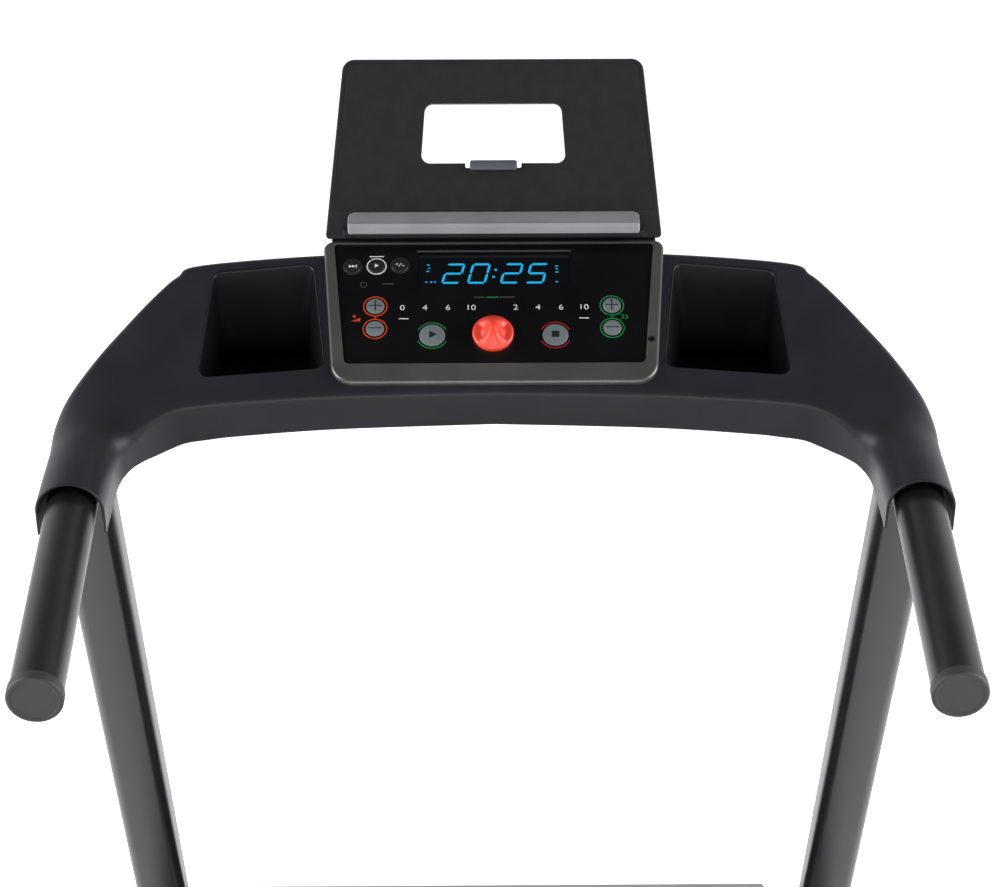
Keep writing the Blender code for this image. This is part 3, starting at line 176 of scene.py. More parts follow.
def new_piece(name, bm, material, body):
    """Turns a finished bmesh into a shown piece that rides on a body."""
    mesh = bpy.data.meshes.new(name)
    bm.to_mesh(mesh)
    bm.free()
    mesh.shade_smooth()
    mesh.set_sharp_from_angle(angle=SHARP)
    piece = bpy.data.objects.new(name, mesh)
    scene.collection.objects.link(piece)
    mesh.materials.append(material)
    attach(piece, body)
    return piece


def scratch(name, bm):
    """A cutter that is removed once it has been used."""
    mesh = bpy.data.meshes.new(name)
    bm.to_mesh(mesh)
    bm.free()
    cutter = bpy.data.objects.new(name, mesh)
    scene.collection.objects.link(cutter)
    return cutter


def carve(piece, cutters, operation="DIFFERENCE"):
    """Applies Booleans to a piece, keeping its material, and removes the cutters."""
    for cutter in cutters:
        modifier = piece.modifiers.new("carve", "BOOLEAN")
        modifier.operation = operation
        modifier.solver = "EXACT"
        modifier.object = cutter
    graph = bpy.context.evaluated_depsgraph_get()
    result = bpy.data.meshes.new_from_object(piece.evaluated_get(graph))
    piece.modifiers.clear()
    material = piece.data.materials[0]
    old = piece.data
    piece.data = result
    result.name = piece.name
    bpy.data.meshes.remove(old)
    for cutter in cutters:
        bpy.data.objects.remove(cutter, do_unlink=True)
    result.materials.clear()
    result.materials.append(material)
    result.shade_smooth()
    result.set_sharp_from_angle(angle=SHARP)
    shade = piece.modifiers.new("even_shading", "WEIGHTED_NORMAL")
    shade.keep_sharp = True
    return piece


def sweep(sections, loop=True, capped=False):
    """Extrudes a chain of edges through the sections, which all have the same number of points."""
    bm = bmesh.new()
    order = bm.verts.layers.int.new("order")
    row = []
    for index, point in enumerate(sections[0]):
        vert = bm.verts.new(point)
        vert[order] = index
        row.append(vert)
    pairs = list(zip(row, row[1:]))
    if loop:
        pairs.append((row[-1], row[0]))
    edges = [bm.edges.new(pair) for pair in pairs]
    if capped:
        bmesh.ops.contextual_create(bm, geom=edges)
    for section in sections[1:]:
        grown = bmesh.ops.extrude_edge_only(bm, edges=edges)["geom"]
        for item in grown:
            if isinstance(item, bmesh.types.BMVert):
                item.co = section[item[order]]
        edges = [item for item in grown if isinstance(item, bmesh.types.BMEdge)]
    if capped:
        bmesh.ops.contextual_create(bm, geom=edges)
    close_doubles(bm)
    return bm


def plate(outline, place, low, high, soften=0.0, segments=3, soften_all=False):
    """A flat outline with thickness; soften rounds the upper rim, or every sharp edge."""
    bm = bmesh.new()
    face = bm.faces.new([bm.verts.new(place(x, y, low)) for x, y in outline])
    grown = bmesh.ops.extrude_face_region(bm, geom=[face])["geom"]
    top = [item for item in grown if isinstance(item, bmesh.types.BMVert)]
    bmesh.ops.translate(bm, vec=place(0, 0, high) - place(0, 0, low), verts=top)
    bmesh.ops.recalc_face_normals(bm, faces=bm.faces)
    if soften:
        raised = set(top)
        rim = []
        for edge in bm.edges:
            if edge.calc_face_angle(0.0) > math.radians(40.0):
                if soften_all or set(edge.verts) <= raised:
                    rim.append(edge)
        soften_edges(bm, rim, soften, segments)
    return bm


def block(low, high, soften=0.0, segments=3):
    """A box between two corners with all its edges rounded."""
    bm = bmesh.new()
    bmesh.ops.create_cube(bm, size=1.0)
    size = Vector(high) - Vector(low)
    bmesh.ops.scale(bm, vec=size, verts=bm.verts)
    bmesh.ops.translate(bm, vec=(Vector(low) + Vector(high)) / 2, verts=bm.verts)
    if soften:
        soften_edges(bm, list(bm.edges), soften, segments)
    return bm


def turned(profile, centre, axis, steps=64):
    """Spins (radius, along) points about an axis; a profile that starts at radius 0 also ends there."""
    direction = Vector(axis).normalized()
    side = direction.orthogonal().normalized()
    bm = bmesh.new()
    verts = [bm.verts.new(Vector(centre) + side * r + direction * a) for r, a in profile]
    edges = [bm.edges.new(pair) for pair in zip(verts, verts[1:])]
    if profile[0][0] > 0:
        edges.append(bm.edges.new((verts[-1], verts[0])))
    bmesh.ops.spin(bm, geom=verts + edges, cent=centre, axis=direction, angle=math.tau, steps=steps,
                   use_merge=True)
    bmesh.ops.remove_doubles(bm, verts=bm.verts, dist=1e-5)
    bmesh.ops.recalc_face_normals(bm, faces=bm.faces)
    return bm


def gather(parts):
    """Puts several closed bmeshes into one, as loose solids of a single piece."""
    whole = bmesh.new()
    for part in parts:
        mesh = bpy.data.meshes.new("part")
        part.to_mesh(mesh)
        part.free()
        whole.from_mesh(mesh)
        bpy.data.meshes.remove(mesh)
    return whole


def rounded(corners, radius, steps=8):
    """A convex outline with each corner turned into an arc; radius may be one value or a list."""
    radii = radius if isinstance(radius, (list, tuple)) else [radius] * len(corners)
    points = []
    for i, corner in enumerate(corners):
        here = Vector(corner)
        before = (Vector(corners[i - 1]) - here).normalized()
        after = (Vector(corners[(i + 1) % len(corners)]) - here).normalized()
        half = before.angle(after) / 2
        reach = radii[i] / math.tan(half)
        centre = here + (before + after).normalized() * radii[i] / math.sin(half)
        start = here + before * reach - centre
        end = here + after * reach - centre
        sweep_angle = start.angle_signed(end)
        for step in range(steps + 1):
            points.append(centre + Matrix.Rotation(-sweep_angle * step / steps, 2) @ start)
    return points


def tapered(front_width, rear_width, front, rear):
    """Four corners of an outline that is symmetrical about x = 0."""
    return [(-front_width / 2, front), (front_width / 2, front),
            (rear_width / 2, rear), (-rear_width / 2, rear)]


def arc(radius, first, last, steps, centre=(0.0, 0.0)):
    """Points of an arc, in degrees."""
    points = []
    for step in range(steps + 1):
        angle = math.radians(first + (last - first) * step / steps)
        points.append((centre[0] + radius * math.cos(angle), centre[1] + radius * math.sin(angle)))
    return points


# %% [markdown]
# ## Finishes
# A finish is named for its real material and the way its surface was made. Moulded plastics get a spark
# grain from the mould, powder coat gets a soft orange peel, and rubber gets a fine matt pimple. Each grain
# is sized in millimetres. Colours are written as sRGB hex and turned to linear in one place.

# %% Material helpers
def linear(colour_hex):
    """(r, g, b, 1) in linear light, from an sRGB hex colour."""
    values = []
    for start in (0, 2, 4):
        value = int(colour_hex[start:start + 2], 16) / 255
        values.append(value / 12.92 if value <= 0.04045 else ((value + 0.055) / 1.055) ** 2.4)
    return (*values, 1.0)


def add_node(tree, kind, settings=None, values=None, links=None):
    """Adds one node: its own settings, its constant inputs, and the sockets that feed its inputs."""
    node = tree.nodes.new("ShaderNode" + kind)
    for key, value in (settings or {}).items():
        setattr(node, key, value)
    for key, value in (values or {}).items():
        node.inputs[key].default_value = value
    for key, socket in (links or {}).items():
        tree.links.new(socket, node.inputs[key])
    return node


def start_material(name, shader_values):
    material = bpy.data.materials.new(name)
    material.use_nodes = True
    tree = material.node_tree
    shader = tree.nodes["Principled BSDF"]
    for key, value in shader_values.items():
        shader.inputs[key].default_value = value
    return material, tree, shader


def ramp_between(tree, source, low, high):
    """Colours from a 0 to 1 pattern."""
    ramp = add_node(tree, "ValToRGB", links={"Fac": source})
    ramp.color_ramp.elements[0].color = low
    ramp.color_ramp.elements[1].color = high
    ramp.color_ramp.elements[0].position = 0.3
    ramp.color_ramp.elements[1].position = 0.7
    return ramp.outputs["Color"]


def noise(tree, place, size_mm, detail=2.0):
    """A noise pattern whose features are about size_mm across."""
    return add_node(tree, "TexNoise", values={"Scale": 1.0 / (size_mm * MM), "Detail": detail},
                    links={"Vector": place}).outputs["Fac"]


def vary_roughness(tree, shader, source, low, high):
    drift = add_node(tree, "MapRange", values={"To Min": low, "To Max": high}, links={"Value": source})
    tree.links.new(drift.outputs["Result"], shader.inputs["Roughness"])


def raise_bump(tree, shader, source, strength, depth_mm):
    bump = add_node(tree, "Bump", values={"Strength": strength, "Distance": depth_mm * MM},
                    links={"Height": source})
    tree.links.new(bump.outputs["Normal"], shader.inputs["Normal"])


def grained(name, dark, light, roughness, grain_mm, depth_mm, spread=0.06, cloud_mm=60.0, **shader_values):
    """A moulded or coated finish: slow colour clouds, roughness that drifts a little, and a fine grain."""
    material, tree, shader = start_material(name, shader_values)
    place = add_node(tree, "TexCoord").outputs["Object"]
    cloud = noise(tree, place, cloud_mm, 3.0)
    tree.links.new(ramp_between(tree, cloud, linear(dark), linear(light)), shader.inputs["Base Color"])
    vary_roughness(tree, shader, cloud, roughness - spread, roughness + spread)
    raise_bump(tree, shader, noise(tree, place, grain_mm), 1.0, depth_mm)
    return material


def ink(name, colour_hex, glow=0.0):
    """Screen-printed ink: thin, even and slightly glossy. A lit segment glows with its own colour."""
    material, tree, shader = start_material(name, {"Roughness": 0.4})
    place = add_node(tree, "TexCoord").outputs["Object"]
    colour = linear(colour_hex)
    darker = (*(value * 0.9 for value in colour[:3]), 1.0)
    tree.links.new(ramp_between(tree, noise(tree, place, 0.8), darker, colour), shader.inputs["Base Color"])
    if glow:
        shader.inputs["Emission Color"].default_value = colour
        shader.inputs["Emission Strength"].default_value = glow
    return material


# %% [markdown]
# The console, arms and holder are moulded ABS with a fine spark grain, so they are dark with a soft sheen.
# The tubes are powder-coated steel, a little smoother. The bezel is ABS sprayed with a gunmetal lacquer.

# %% Finishes of the shells and tubes
# A mould's spark grain scatters most of the mirror light, so these three shine less than plain ABS would.
LOW_GLOSS = {"Specular IOR Level": 0.22}
moulded_abs = grained("moulded_satin_abs", "202026", "25252c", 0.38, 0.55, 0.012, **LOW_GLOSS)
# The tray skin is the shell's own moulding, given a darker colour: painted shade for the deep recess.
tray_painted_shade_abs = grained("tray_abs_painted_shade", "0d0d10", "121216", 0.40, 0.55, 0.012, **LOW_GLOSS)
holder_abs = grained("holder_satin_abs", "1a1a1e", "1f1f23", 0.45, 0.55, 0.012, **LOW_GLOSS)
powder_coat = grained("satin_powder_coat", "111114", "17171b", 0.30, 1.2, 0.006, spread=0.03)
gunmetal = grained("gunmetal_lacquer", "5a5a58", "646461", 0.34, 0.35, 0.004, spread=0.03, Metallic=0.6)
ledge_abs = grained("ledge_grey_abs", "7e7e83", "88888d", 0.45, 0.6, 0.012)
clip_abs = grained("clip_slate_abs", "3a3e47", "42464f", 0.42, 0.5, 0.010)
cap_rubber = grained("cap_moulded_pvc", "29282a", "302f31", 0.55, 0.7, 0.02)
mat_foam = grained("pressed_foam_rubber", "1a1a1a", "202020", 0.9, 0.9, 0.05, cloud_mm=14.0,
                   **{"Sheen Weight": 0.06, "Sheen Roughness": 0.5, "Specular IOR Level": 0.2})
key_silicone = grained("grey_key_silicone", "5d6468", "666d71", 0.5, 0.6, 0.012)
dark_key = grained("black_key_silicone", "121214", "18181a", 0.4, 0.6, 0.008)
red_abs = grained("red_satin_abs", "da3a2b", "e44433", 0.38, 0.8, 0.01, spread=0.03,
                  **{"Subsurface Weight": 0.05})
tyre_rubber = grained("moulded_black_rubber", "161616", "1c1c1c", 0.8, 1.0, 0.04)
motor_enamel = grained("motor_enamel", "17171a", "1f1f22", 0.4, 1.5, 0.01)
circuit_resin = grained("circuit_board_resin", "0e3d22", "14492a", 0.5, 2.0, 0.01)

# %% [markdown]
# The panel is a hard-coated polyester overlay: almost black, smooth, and it mirrors softly. The display
# window is smoked acrylic with a true gloss. Both keep a very slight haze so that they don't look like oil.

# %% Finishes of the panel, display and inks
panel_overlay = grained("printed_polyester_overlay", "08080a", "0c0c0e", 0.3, 0.5, 0.003, spread=0.03,
                        **{"Specular IOR Level": 0.25})
smoked_acrylic = grained("smoked_acrylic", "05070a", "07090d", 0.08, 3.0, 0.0004, spread=0.015)
white_ink = ink("white_ink", "c9cbcd")
grey_ink = ink("grey_ink", "3c3e41")
black_ink = ink("black_ink", "1b1d1f")
orange_ink = ink("orange_ink", "c83a10")
green_ink = ink("green_ink", "14793a")
red_ink = ink("red_ink", "9c1420")
lit_segment = ink("lit_cyan_segment", "0e8cb8", glow=0.7)

# %% [markdown]
# The walking belt is woven polyester under a PVC face that carries a pressed diamond pattern, about 4 mm
# across, so that a shoe grips. Two sets of slanted waves make the diamonds, and the face is matt.

# %% Walking belt, bare steel and board
def diamond_belt():
    material, tree, shader = start_material("pvc_walking_belt", {})
    place = add_node(tree, "TexCoord").outputs["Object"]
    pitch = 4.0 * MM
    heights = []
    for turn in (35.0, -35.0):
        turned_place = add_node(tree, "Mapping", values={"Rotation": (0.0, 0.0, math.radians(turn))},
                                links={"Vector": place})
        wave = add_node(tree, "TexWave", {"wave_type": "BANDS", "bands_direction": "X"},
                        {"Scale": 1.0 / (pitch * math.tau) * 0.5, "Distortion": 0.0},
                        {"Vector": turned_place.outputs["Vector"]})
        heights.append(wave.outputs["Fac"])
    crossed = add_node(tree, "Math", {"operation": "MULTIPLY"}, links={0: heights[0], 1: heights[1]})
    raise_bump(tree, shader, crossed.outputs["Value"], 0.8, 0.25)
    tree.links.new(ramp_between(tree, crossed.outputs["Value"], linear("141414"), linear("212122")),
                   shader.inputs["Base Color"])
    vary_roughness(tree, shader, noise(tree, place, 90.0), 0.62, 0.82)
    return material


def turned_steel():
    """Steel from a lathe: fine rings run round the axis, which lies along X on this machine."""
    material, tree, shader = start_material("turned_bare_steel", {"Metallic": 1.0})
    place = add_node(tree, "TexCoord").outputs["Object"]
    squeezed = add_node(tree, "Mapping", values={"Scale": (1.0, 0.02, 0.02)}, links={"Vector": place})
    rings = noise(tree, squeezed.outputs["Vector"], 1.2)
    tree.links.new(ramp_between(tree, rings, linear("9a9a9c"), linear("b4b4b6")), shader.inputs["Base Color"])
    vary_roughness(tree, shader, rings, 0.28, 0.42)
    return material


belt_pvc = diamond_belt()
bare_steel = turned_steel()
phenolic_board = grained("phenolic_faced_board", "6b4a2c", "80593a", 0.55, 1.5, 0.02, cloud_mm=25.0)

SLOT_FINISHES = {
    "shell_plastic": moulded_abs, "bezel_metallic": gunmetal, "panel_gloss": panel_overlay,
    "key_grey": key_silicone, "key_dark": dark_key, "clip_grey": clip_abs, "safety_red": red_abs,
    "lens_clear": smoked_acrylic, "circuit_green": circuit_resin, "soft_mat": mat_foam,
    "ledge_grey": ledge_abs, "painted_steel": powder_coat, "bare_steel": bare_steel,
    "rubber_black": tyre_rubber, "belt_black": belt_pvc, "wood_board": phenolic_board,
    "motor_black": motor_enamel,
}
for subpart in frame["record"]["subparts"]:
    mesh = frame["nodes"][subpart["node"]].data
    mesh.materials.clear()
    mesh.materials.append(SLOT_FINISHES[subpart["material_slot"]])
print("finishes on", len(frame["nodes"]), "frame nodes")

# %% Floor
FLOOR_GLOW = 0.62
floor_material, _, floor_shader = start_material("studio_paper", {"Roughness": 0.9})
floor_shader.inputs["Base Color"].default_value = linear("f4f4f4")
floor_shader.inputs["Emission Color"].default_value = (1.0, 1.0, 1.0, 1.0)
floor_shader.inputs["Emission Strength"].default_value = FLOOR_GLOW
floor_bm = bmesh.new()
bmesh.ops.create_grid(floor_bm, x_segments=1, y_segments=1, size=12.0)
floor_mesh = bpy.data.meshes.new("floor")
floor_bm.to_mesh(floor_mesh)
floor_bm.free()
floor_mesh.materials.append(floor_material)
floor = bpy.data.objects.new("floor", floor_mesh)
scene.collection.objects.link(floor)
floor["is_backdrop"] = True

# %% [markdown]
# ## The console's planes
# Two sloping planes carry nearly everything the user sees: the panel, tilted 21.9 degrees from level, and
# the tablet holder, leaning 35 degrees back. Two small functions turn a place on either plane into a world
# place, so that each marking and key is set out as it would be on a drawing of the panel.

# %% Planes
HANDLE_X = 0.415
HANDLE_HEIGHT = 1.175
HANDLE_RADIUS = 0.025
HOOD_MOUTH_Y = 0.385
CONSOLE_TILT = math.radians(21.9)
PANEL_Y = HOOD_MOUTH_Y + 0.1475
PANEL_Z = HANDLE_HEIGHT + 0.0532
BEZEL_LENGTH = 0.178
BEZEL_HEIGHT = 0.0062
PANEL_SINK = 0.0022
TOP_SINK = BEZEL_HEIGHT + 0.0003
HOLDER_LEAN = math.radians(35.0)
HOLDER_Y = HOOD_MOUTH_Y + 0.3130
HOLDER_Z = HANDLE_HEIGHT + 0.1174
SIDES = (("left", -1), ("right", 1))


def on_panel(x, along, above=0.0):
    """A place from the bezel's face: along runs away from the user, above leaves the face."""
    rise, run = math.sin(CONSOLE_TILT), math.cos(CONSOLE_TILT)
    return Vector((x, PANEL_Y + along * run - above * rise, PANEL_Z + along * rise + above * run))


def on_holder(x, up, out=0.0):
    """A place from the holder's front face: up runs up the face, out leaves it towards the user."""
    lean, stand = math.sin(HOLDER_LEAN), math.cos(HOLDER_LEAN)
    return Vector((x, HOLDER_Y + up * lean - out * stand, HOLDER_Z + up * stand + out * lean))


PANEL_NORMAL = (on_panel(0, 0, 1.0) - on_panel(0, 0)).normalized()


def top_plane(y):
    """Height of the console's flat top at a given y."""
    base_y = PANEL_Y + TOP_SINK * math.sin(CONSOLE_TILT)
    base_z = PANEL_Z - TOP_SINK * math.cos(CONSOLE_TILT)
    return base_z + math.tan(CONSOLE_TILT) * (y - base_y)


# %% [markdown]
# ## Console shell
# The shell is one moulding: a flat sloping top with a front fascia, whose two ends turn down and become
# arched hoods over the handlebars. A Boolean of boxes couldn't give the blend from flat to arch, so the
# section is drawn once and its width, arch and rims change from row to row. The rows are interpolated
# smoothly and the closed section is swept through them, wall and all.

# %% Console shell rows
SHELL_WALL = 0.003
ARM_ROWS = [
    (-0.0335, 0.0000, 0.0345, 0.000, 1.00, -0.0235, -0.0260),
    (-0.0350, 0.0400, 0.0330, 0.040, 1.00, -0.0235, -0.0255),
    (-0.0380, 0.0780, 0.0308, 0.085, 0.92, -0.0225, -0.0250),
    (-0.0480, 0.0950, 0.0295, 0.122, 0.68, -0.0165, -0.0240),
    (-0.0600, 0.1060, 0.0190, 0.155, 0.38, -0.0140, -0.0230),
    (-0.0720, 0.1145, -0.0060, 0.192, 0.14, -0.0130, -0.0220),
    (-0.0860, 0.1215, -0.0390, 0.232, 0.03, -0.0100, -0.0210),
    (-0.1020, 0.1265, -0.0680, 0.266, 0.00, -0.0060, -0.0205),
    (-0.1250, 0.1295, -0.0860, 0.284, 0.00, -0.0040, -0.0200),
    (-0.1550, 0.1325, -0.1120, 0.298, 0.00, -0.0020, -0.0200),
]
WING_ROW = (0.160, 0.1385, 0.160, 0.3100, 0.0, 0.0020, -0.0200)
MIDDLE_ROW = (0.0, 0.1422, 0.0, 0.3120, 0.0, 0.0050, -0.0200)
ARCH_BASE = 0.0015
ARCH_HEIGHT = 0.0345
FRONT_ROUND = 0.005
REAR_ROUND = 0.012
ARCH_STEPS = 44
ROWS_PER_STEP = 7


def smooth_between(a, b, c, d, t):
    """Catmull-Rom value between b and c."""
    return 0.5 * (2 * b + (c - a) * t + (2 * a - 5 * b + 4 * c - d) * t * t
                  + (3 * b - a - 3 * c + d) * t ** 3)


def console_rows():
    rows = []
    for inner_x, inner_y, outer_x, outer_y, arch, inner_rim, outer_rim in ARM_ROWS:
        rows.append((HANDLE_X + inner_x, inner_y, HANDLE_X + outer_x, outer_y, arch, inner_rim, outer_rim))
    rows += [WING_ROW, MIDDLE_ROW]
    last = len(rows) - 1
    fine = []
    for i in range(last):
        around = [rows[max(i - 1, 0)], rows[i], rows[i + 1], rows[min(i + 2, last)]]
        for step in range(ROWS_PER_STEP):
            fine.append(tuple(smooth_between(*values, step / ROWS_PER_STEP) for values in zip(*around)))
    fine.append(rows[last])
    return fine


def shell_section(row):
    """(across, height) points of the outer face, from the inner rim over the top to the outer rim."""
    inner_x, inner_y, outer_x, outer_y, arch, inner_rim, outer_rim = row
    arch = min(max(arch, 0.0), 1.0)
    inner = Vector((inner_x, HOOD_MOUTH_Y + inner_y))
    outer = Vector((outer_x, HOOD_MOUTH_Y + outer_y))
    width = (outer - inner).length
    points = [(0.0, HANDLE_HEIGHT + inner_rim)]
    for step in range(ARCH_STEPS + 1):
        angle = math.pi * step / ARCH_STEPS
        across = width * (1 - math.cos(angle)) / 2
        flat = top_plane(inner.y + (outer.y - inner.y) * across / width)
        for distance, size in ((across, FRONT_ROUND), (width - across, REAR_ROUND)):
            if distance < size:
                flat -= size - math.sqrt(size ** 2 - (size - distance) ** 2)
        dome = HANDLE_HEIGHT + ARCH_BASE + ARCH_HEIGHT * math.sin(angle)
        points.append((across, arch * dome + (1 - arch) * flat))
    points.append((width, HANDLE_HEIGHT + outer_rim))
    return inner, outer, points


def inside_of(points, wall):
    """The section moved inwards by the wall, along its own normals."""
    moved = []
    for i, point in enumerate(points):
        before = Vector(points[max(i - 1, 0)])
        after = Vector(points[min(i + 1, len(points) - 1)])
        along = (after - before).normalized()
        moved.append(Vector(point) + Vector((along.y, -along.x)) * wall)
    moved[0].y = points[0][1]
    moved[-1].y = points[-1][1]
    return moved


def shell_ring(row, flip):
    inner, outer, points = shell_section(row)
    direction = (outer - inner).normalized()
    ring = []
    for across, height in [Vector(p) for p in points] + list(reversed(inside_of(points, SHELL_WALL))):
        place = inner + direction * across
        ring.append((place.x * flip, place.y, height))
    return ring


# %% [markdown]
# Each tray is a tub with leaning walls. Its hole is cut through the shell, and the tub is a separate skin
# whose lip rolls over flush with the top, so the rim is round and catches a thin line of light. The skin is
# darker than the shell: painted shade for the depth of the tray.

# %% Trays
TRAY_FLOOR = HANDLE_HEIGHT - 0.001
TRAY_CORNER = 0.009
TRAY_LIP = 0.0022
TRAY_FILLET = 0.006
TRAY_TOP = ((0.1735, 0.0262), (0.3003, 0.0150), (0.2895, 0.1447), (0.1885, 0.1550))
TRAY_BOTTOM = ((0.1800, 0.0380), (0.2960, 0.0290), (0.2860, 0.1370), (0.1980, 0.1440))


def tray_outline(side, grow, down):
    """A tray's outline in plan; down runs from 0 at the console's top to 1 at the tray's floor."""
    corners = []
    for high, low in zip(TRAY_TOP, TRAY_BOTTOM):
        x = high[0] + (low[0] - high[0]) * down
        along = high[1] + (low[1] - high[1]) * down
        corners.append(Vector((x, PANEL_Y + along * math.cos(CONSOLE_TILT))))
    centre = sum(corners, Vector((0, 0))) / 4
    grown = []
    for corner in corners:
        away = corner - centre
        grown.append(corner + Vector((math.copysign(grow, away.x), math.copysign(grow, away.y))))
    return [(point.x * side, point.y) for point in rounded(grown, TRAY_CORNER + grow, 8)]


def tray_skin(side):
    """Lip, leaning wall, fillet and floor, as rings from the top down."""
    rings = []
    for step in range(5):
        angle = math.radians(90.0 * step / 4)
        outline = tray_outline(side, TRAY_LIP * (1 - math.sin(angle)), 0.0)
        drop = TRAY_LIP * (1 - math.cos(angle))
        rings.append([(x, y, top_plane(y) + 0.0001 - drop) for x, y in outline])
    for down in (0.25, 0.5, 0.75):
        outline = tray_outline(side, 0.0, down)
        rings.append([(x, y, (top_plane(y) - TRAY_LIP) * (1 - down) + (TRAY_FLOOR + TRAY_FILLET) * down)
                      for x, y in outline])
    for step in range(6):
        angle = math.radians(90.0 * step / 5)
        outline = tray_outline(side, -TRAY_FILLET * (1 - math.cos(angle)), 1.0)
        rings.append([(x, y, TRAY_FLOOR + TRAY_FILLET * (1 - math.sin(angle))) for x, y in outline])
    bm = sweep(rings)
    floor_rim = [edge for edge in bm.edges if edge.is_boundary
                 and max(vert.co.z for vert in edge.verts) < TRAY_FLOOR + TRAY_FILLET / 4]
    bmesh.ops.contextual_create(bm, geom=floor_rim)
    bmesh.ops.recalc_face_normals(bm, faces=bm.faces)
    return bm


def tray_cutter(side):
    low = [(x, y, TRAY_FLOOR - 0.020) for x, y in tray_outline(side, TRAY_LIP * 0.6, 0.0)]
    high = [(x, y, top_plane(y) + 0.020) for x, y in tray_outline(side, TRAY_LIP * 0.6, 0.0)]
    return sweep([low, high], capped=True)


rows = console_rows()
rings = [shell_ring(row, -1) for row in rows] + [shell_ring(row, 1) for row in reversed(rows[:-1])]
shell_bm = sweep(rings, capped=True)
mouth_rim = []
for edge in shell_bm.edges:
    at_mouth = all(abs(vert.co.y - HOOD_MOUTH_Y) < 1e-4 for vert in edge.verts)
    if at_mouth and edge.calc_face_angle(0.0) > math.radians(60.0):
        mouth_rim.append(edge)
soften_edges(shell_bm, mouth_rim, 0.0011, 3)
console_shell = new_piece("console_shell_moulding", shell_bm, moulded_abs, "base")
bezel_opening = tapered(0.296, 0.318, 0.0235, BEZEL_LENGTH - 0.010)
carve(console_shell, [scratch("tray", tray_cutter(-1)), scratch("tray", tray_cutter(1)),
                      scratch("opening", plate(bezel_opening, on_panel, -0.030, 0.010))])
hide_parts("console_top_shell")
for side, sign in SIDES:
    tray = new_piece(f"{side}_tray_tub", tray_skin(sign), tray_painted_shade_abs, "base")
    wall = tray.modifiers.new("tub_wall", "SOLIDIFY")
    wall.thickness = 0.002
    wall.offset = -1.0
print("console shell", len(console_shell.data.polygons), "faces")

# %% [markdown]
# ## Bezel
# The bezel frames the panel: a lacquered band, wide at the front, with a soft outer shoulder and a crisp
# inner lip. It is one section swept round the outline, so the shoulder runs evenly through the corners.

# %% Bezel
BEZEL_BAND = 0.0125
BEZEL_FRONT_BAND = 0.0235
OUTER_FRONT = 0.329
OUTER_REAR = 0.355
INNER_FRONT = OUTER_FRONT - 2 * BEZEL_BAND + 0.0015
INNER_REAR = OUTER_REAR - 2 * BEZEL_BAND + 0.0025
INNER_LONG = BEZEL_LENGTH - 0.0035


def bezel_outer(inset):
    corners = tapered(OUTER_FRONT - 2 * inset, OUTER_REAR - 2 * inset, inset, BEZEL_LENGTH - inset)
    return rounded(corners, [0.024 - inset, 0.024 - inset, 0.010 - inset, 0.010 - inset], 12)


def bezel_inner(grow):
    corners = tapered(INNER_FRONT + 2 * grow, INNER_REAR + 2 * grow,
                      BEZEL_FRONT_BAND - grow, INNER_LONG + grow / 2)
    return rounded(corners, [0.006 + grow, 0.006 + grow, 0.003 + grow / 2, 0.003 + grow / 2], 12)


def bezel_sections():
    levels = [(bezel_outer(0.0), -BEZEL_HEIGHT)]
    shoulder = 0.0032
    for step in range(7):
        angle = math.radians(90.0 * step / 6)
        levels.append((bezel_outer(shoulder * (1 - math.cos(angle))), -shoulder * (1 - math.sin(angle))))
    lip = 0.0007
    for step in range(4):
        angle = math.radians(90.0 * step / 3)
        levels.append((bezel_inner(lip * (1 - math.sin(angle))), -lip * (1 - math.cos(angle))))
    levels.append((bezel_inner(0.0), -BEZEL_HEIGHT))
    levels.append(levels[0])
    return [[on_panel(x, y, level) for x, y in outline] for outline, level in levels]


JACK = (0.1600, 0.0520)
bezel = new_piece("console_bezel_frame", sweep(bezel_sections()), gunmetal, "base")
carve(bezel, [scratch("jack", turned([(0.0, -0.012), (0.0038, -0.012), (0.0038, 0.004), (0.0, 0.004)],
                                     on_panel(*JACK), PANEL_NORMAL, 32))])
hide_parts("console_bezel")

# %% [markdown]
# ## Keys
# Silicone keys stand a little proud of the overlay, with a shallow dome and a rounded shoulder. Each one
# rides on its own body, because every key travels, and so does the mark printed on it.

# %% Keys
KEY_TOP = -PANEL_SINK + 0.0012
INK_THICK = 0.00012
INCLINE_X, SPEED_X = -0.1221, 0.1206
STEP_UP, STEP_DOWN = 0.0955, 0.0674
STEP_RADIUS, MAIN_RADIUS, ROUND_RADIUS = 0.0093, 0.0132, 0.0085
START_PLACE, STOP_PLACE = (-0.0635, 0.0588), (0.0622, 0.0588)
SKIP_PLACE, DISPLAY_PLACE, SELECT_PLACE = (-0.1466, 0.1456), (-0.1216, 0.1464), (-0.0973, 0.1472)


def key_bm(x, along, radius, dome):
    place = on_panel(x, along)
    shoulder = 0.0008
    profile = [(0.0, -0.0085), (radius, -0.0085)]
    for px, py in arc(shoulder, 0.0, 90.0, 4):
        profile.append((radius - shoulder + px, KEY_TOP - shoulder + py))
    for step in range(1, 7):
        share = step / 6
        profile.append(((radius - shoulder) * (1 - share), KEY_TOP + dome * (1 - (1 - share) ** 2)))
    return turned(profile, place, PANEL_NORMAL, 48)


def mark(outline, level, thickness=INK_THICK):
    """A printed mark: a thin plate just proud of the face it is printed on."""
    return plate(outline, on_panel, level, level + thickness)


def ring_mark(x, along, radius, width, level, first=0.0, last=360.0, thickness=INK_THICK):
    """A printed ring, or a part of one, as a flat band."""
    steps = max(8, int(abs(last - first) / 6))
    outer = arc(radius + width / 2, first, last, steps, (x, along))
    inner = arc(radius - width / 2, first, last, steps, (x, along))
    bands = ((outer, level), (outer, level + thickness), (inner, level + thickness), (inner, level))
    sections = [[on_panel(*outline[i], height) for outline, height in bands] for i in range(steps + 1)]
    return sweep(sections, capped=abs(last - first) < 359.0)


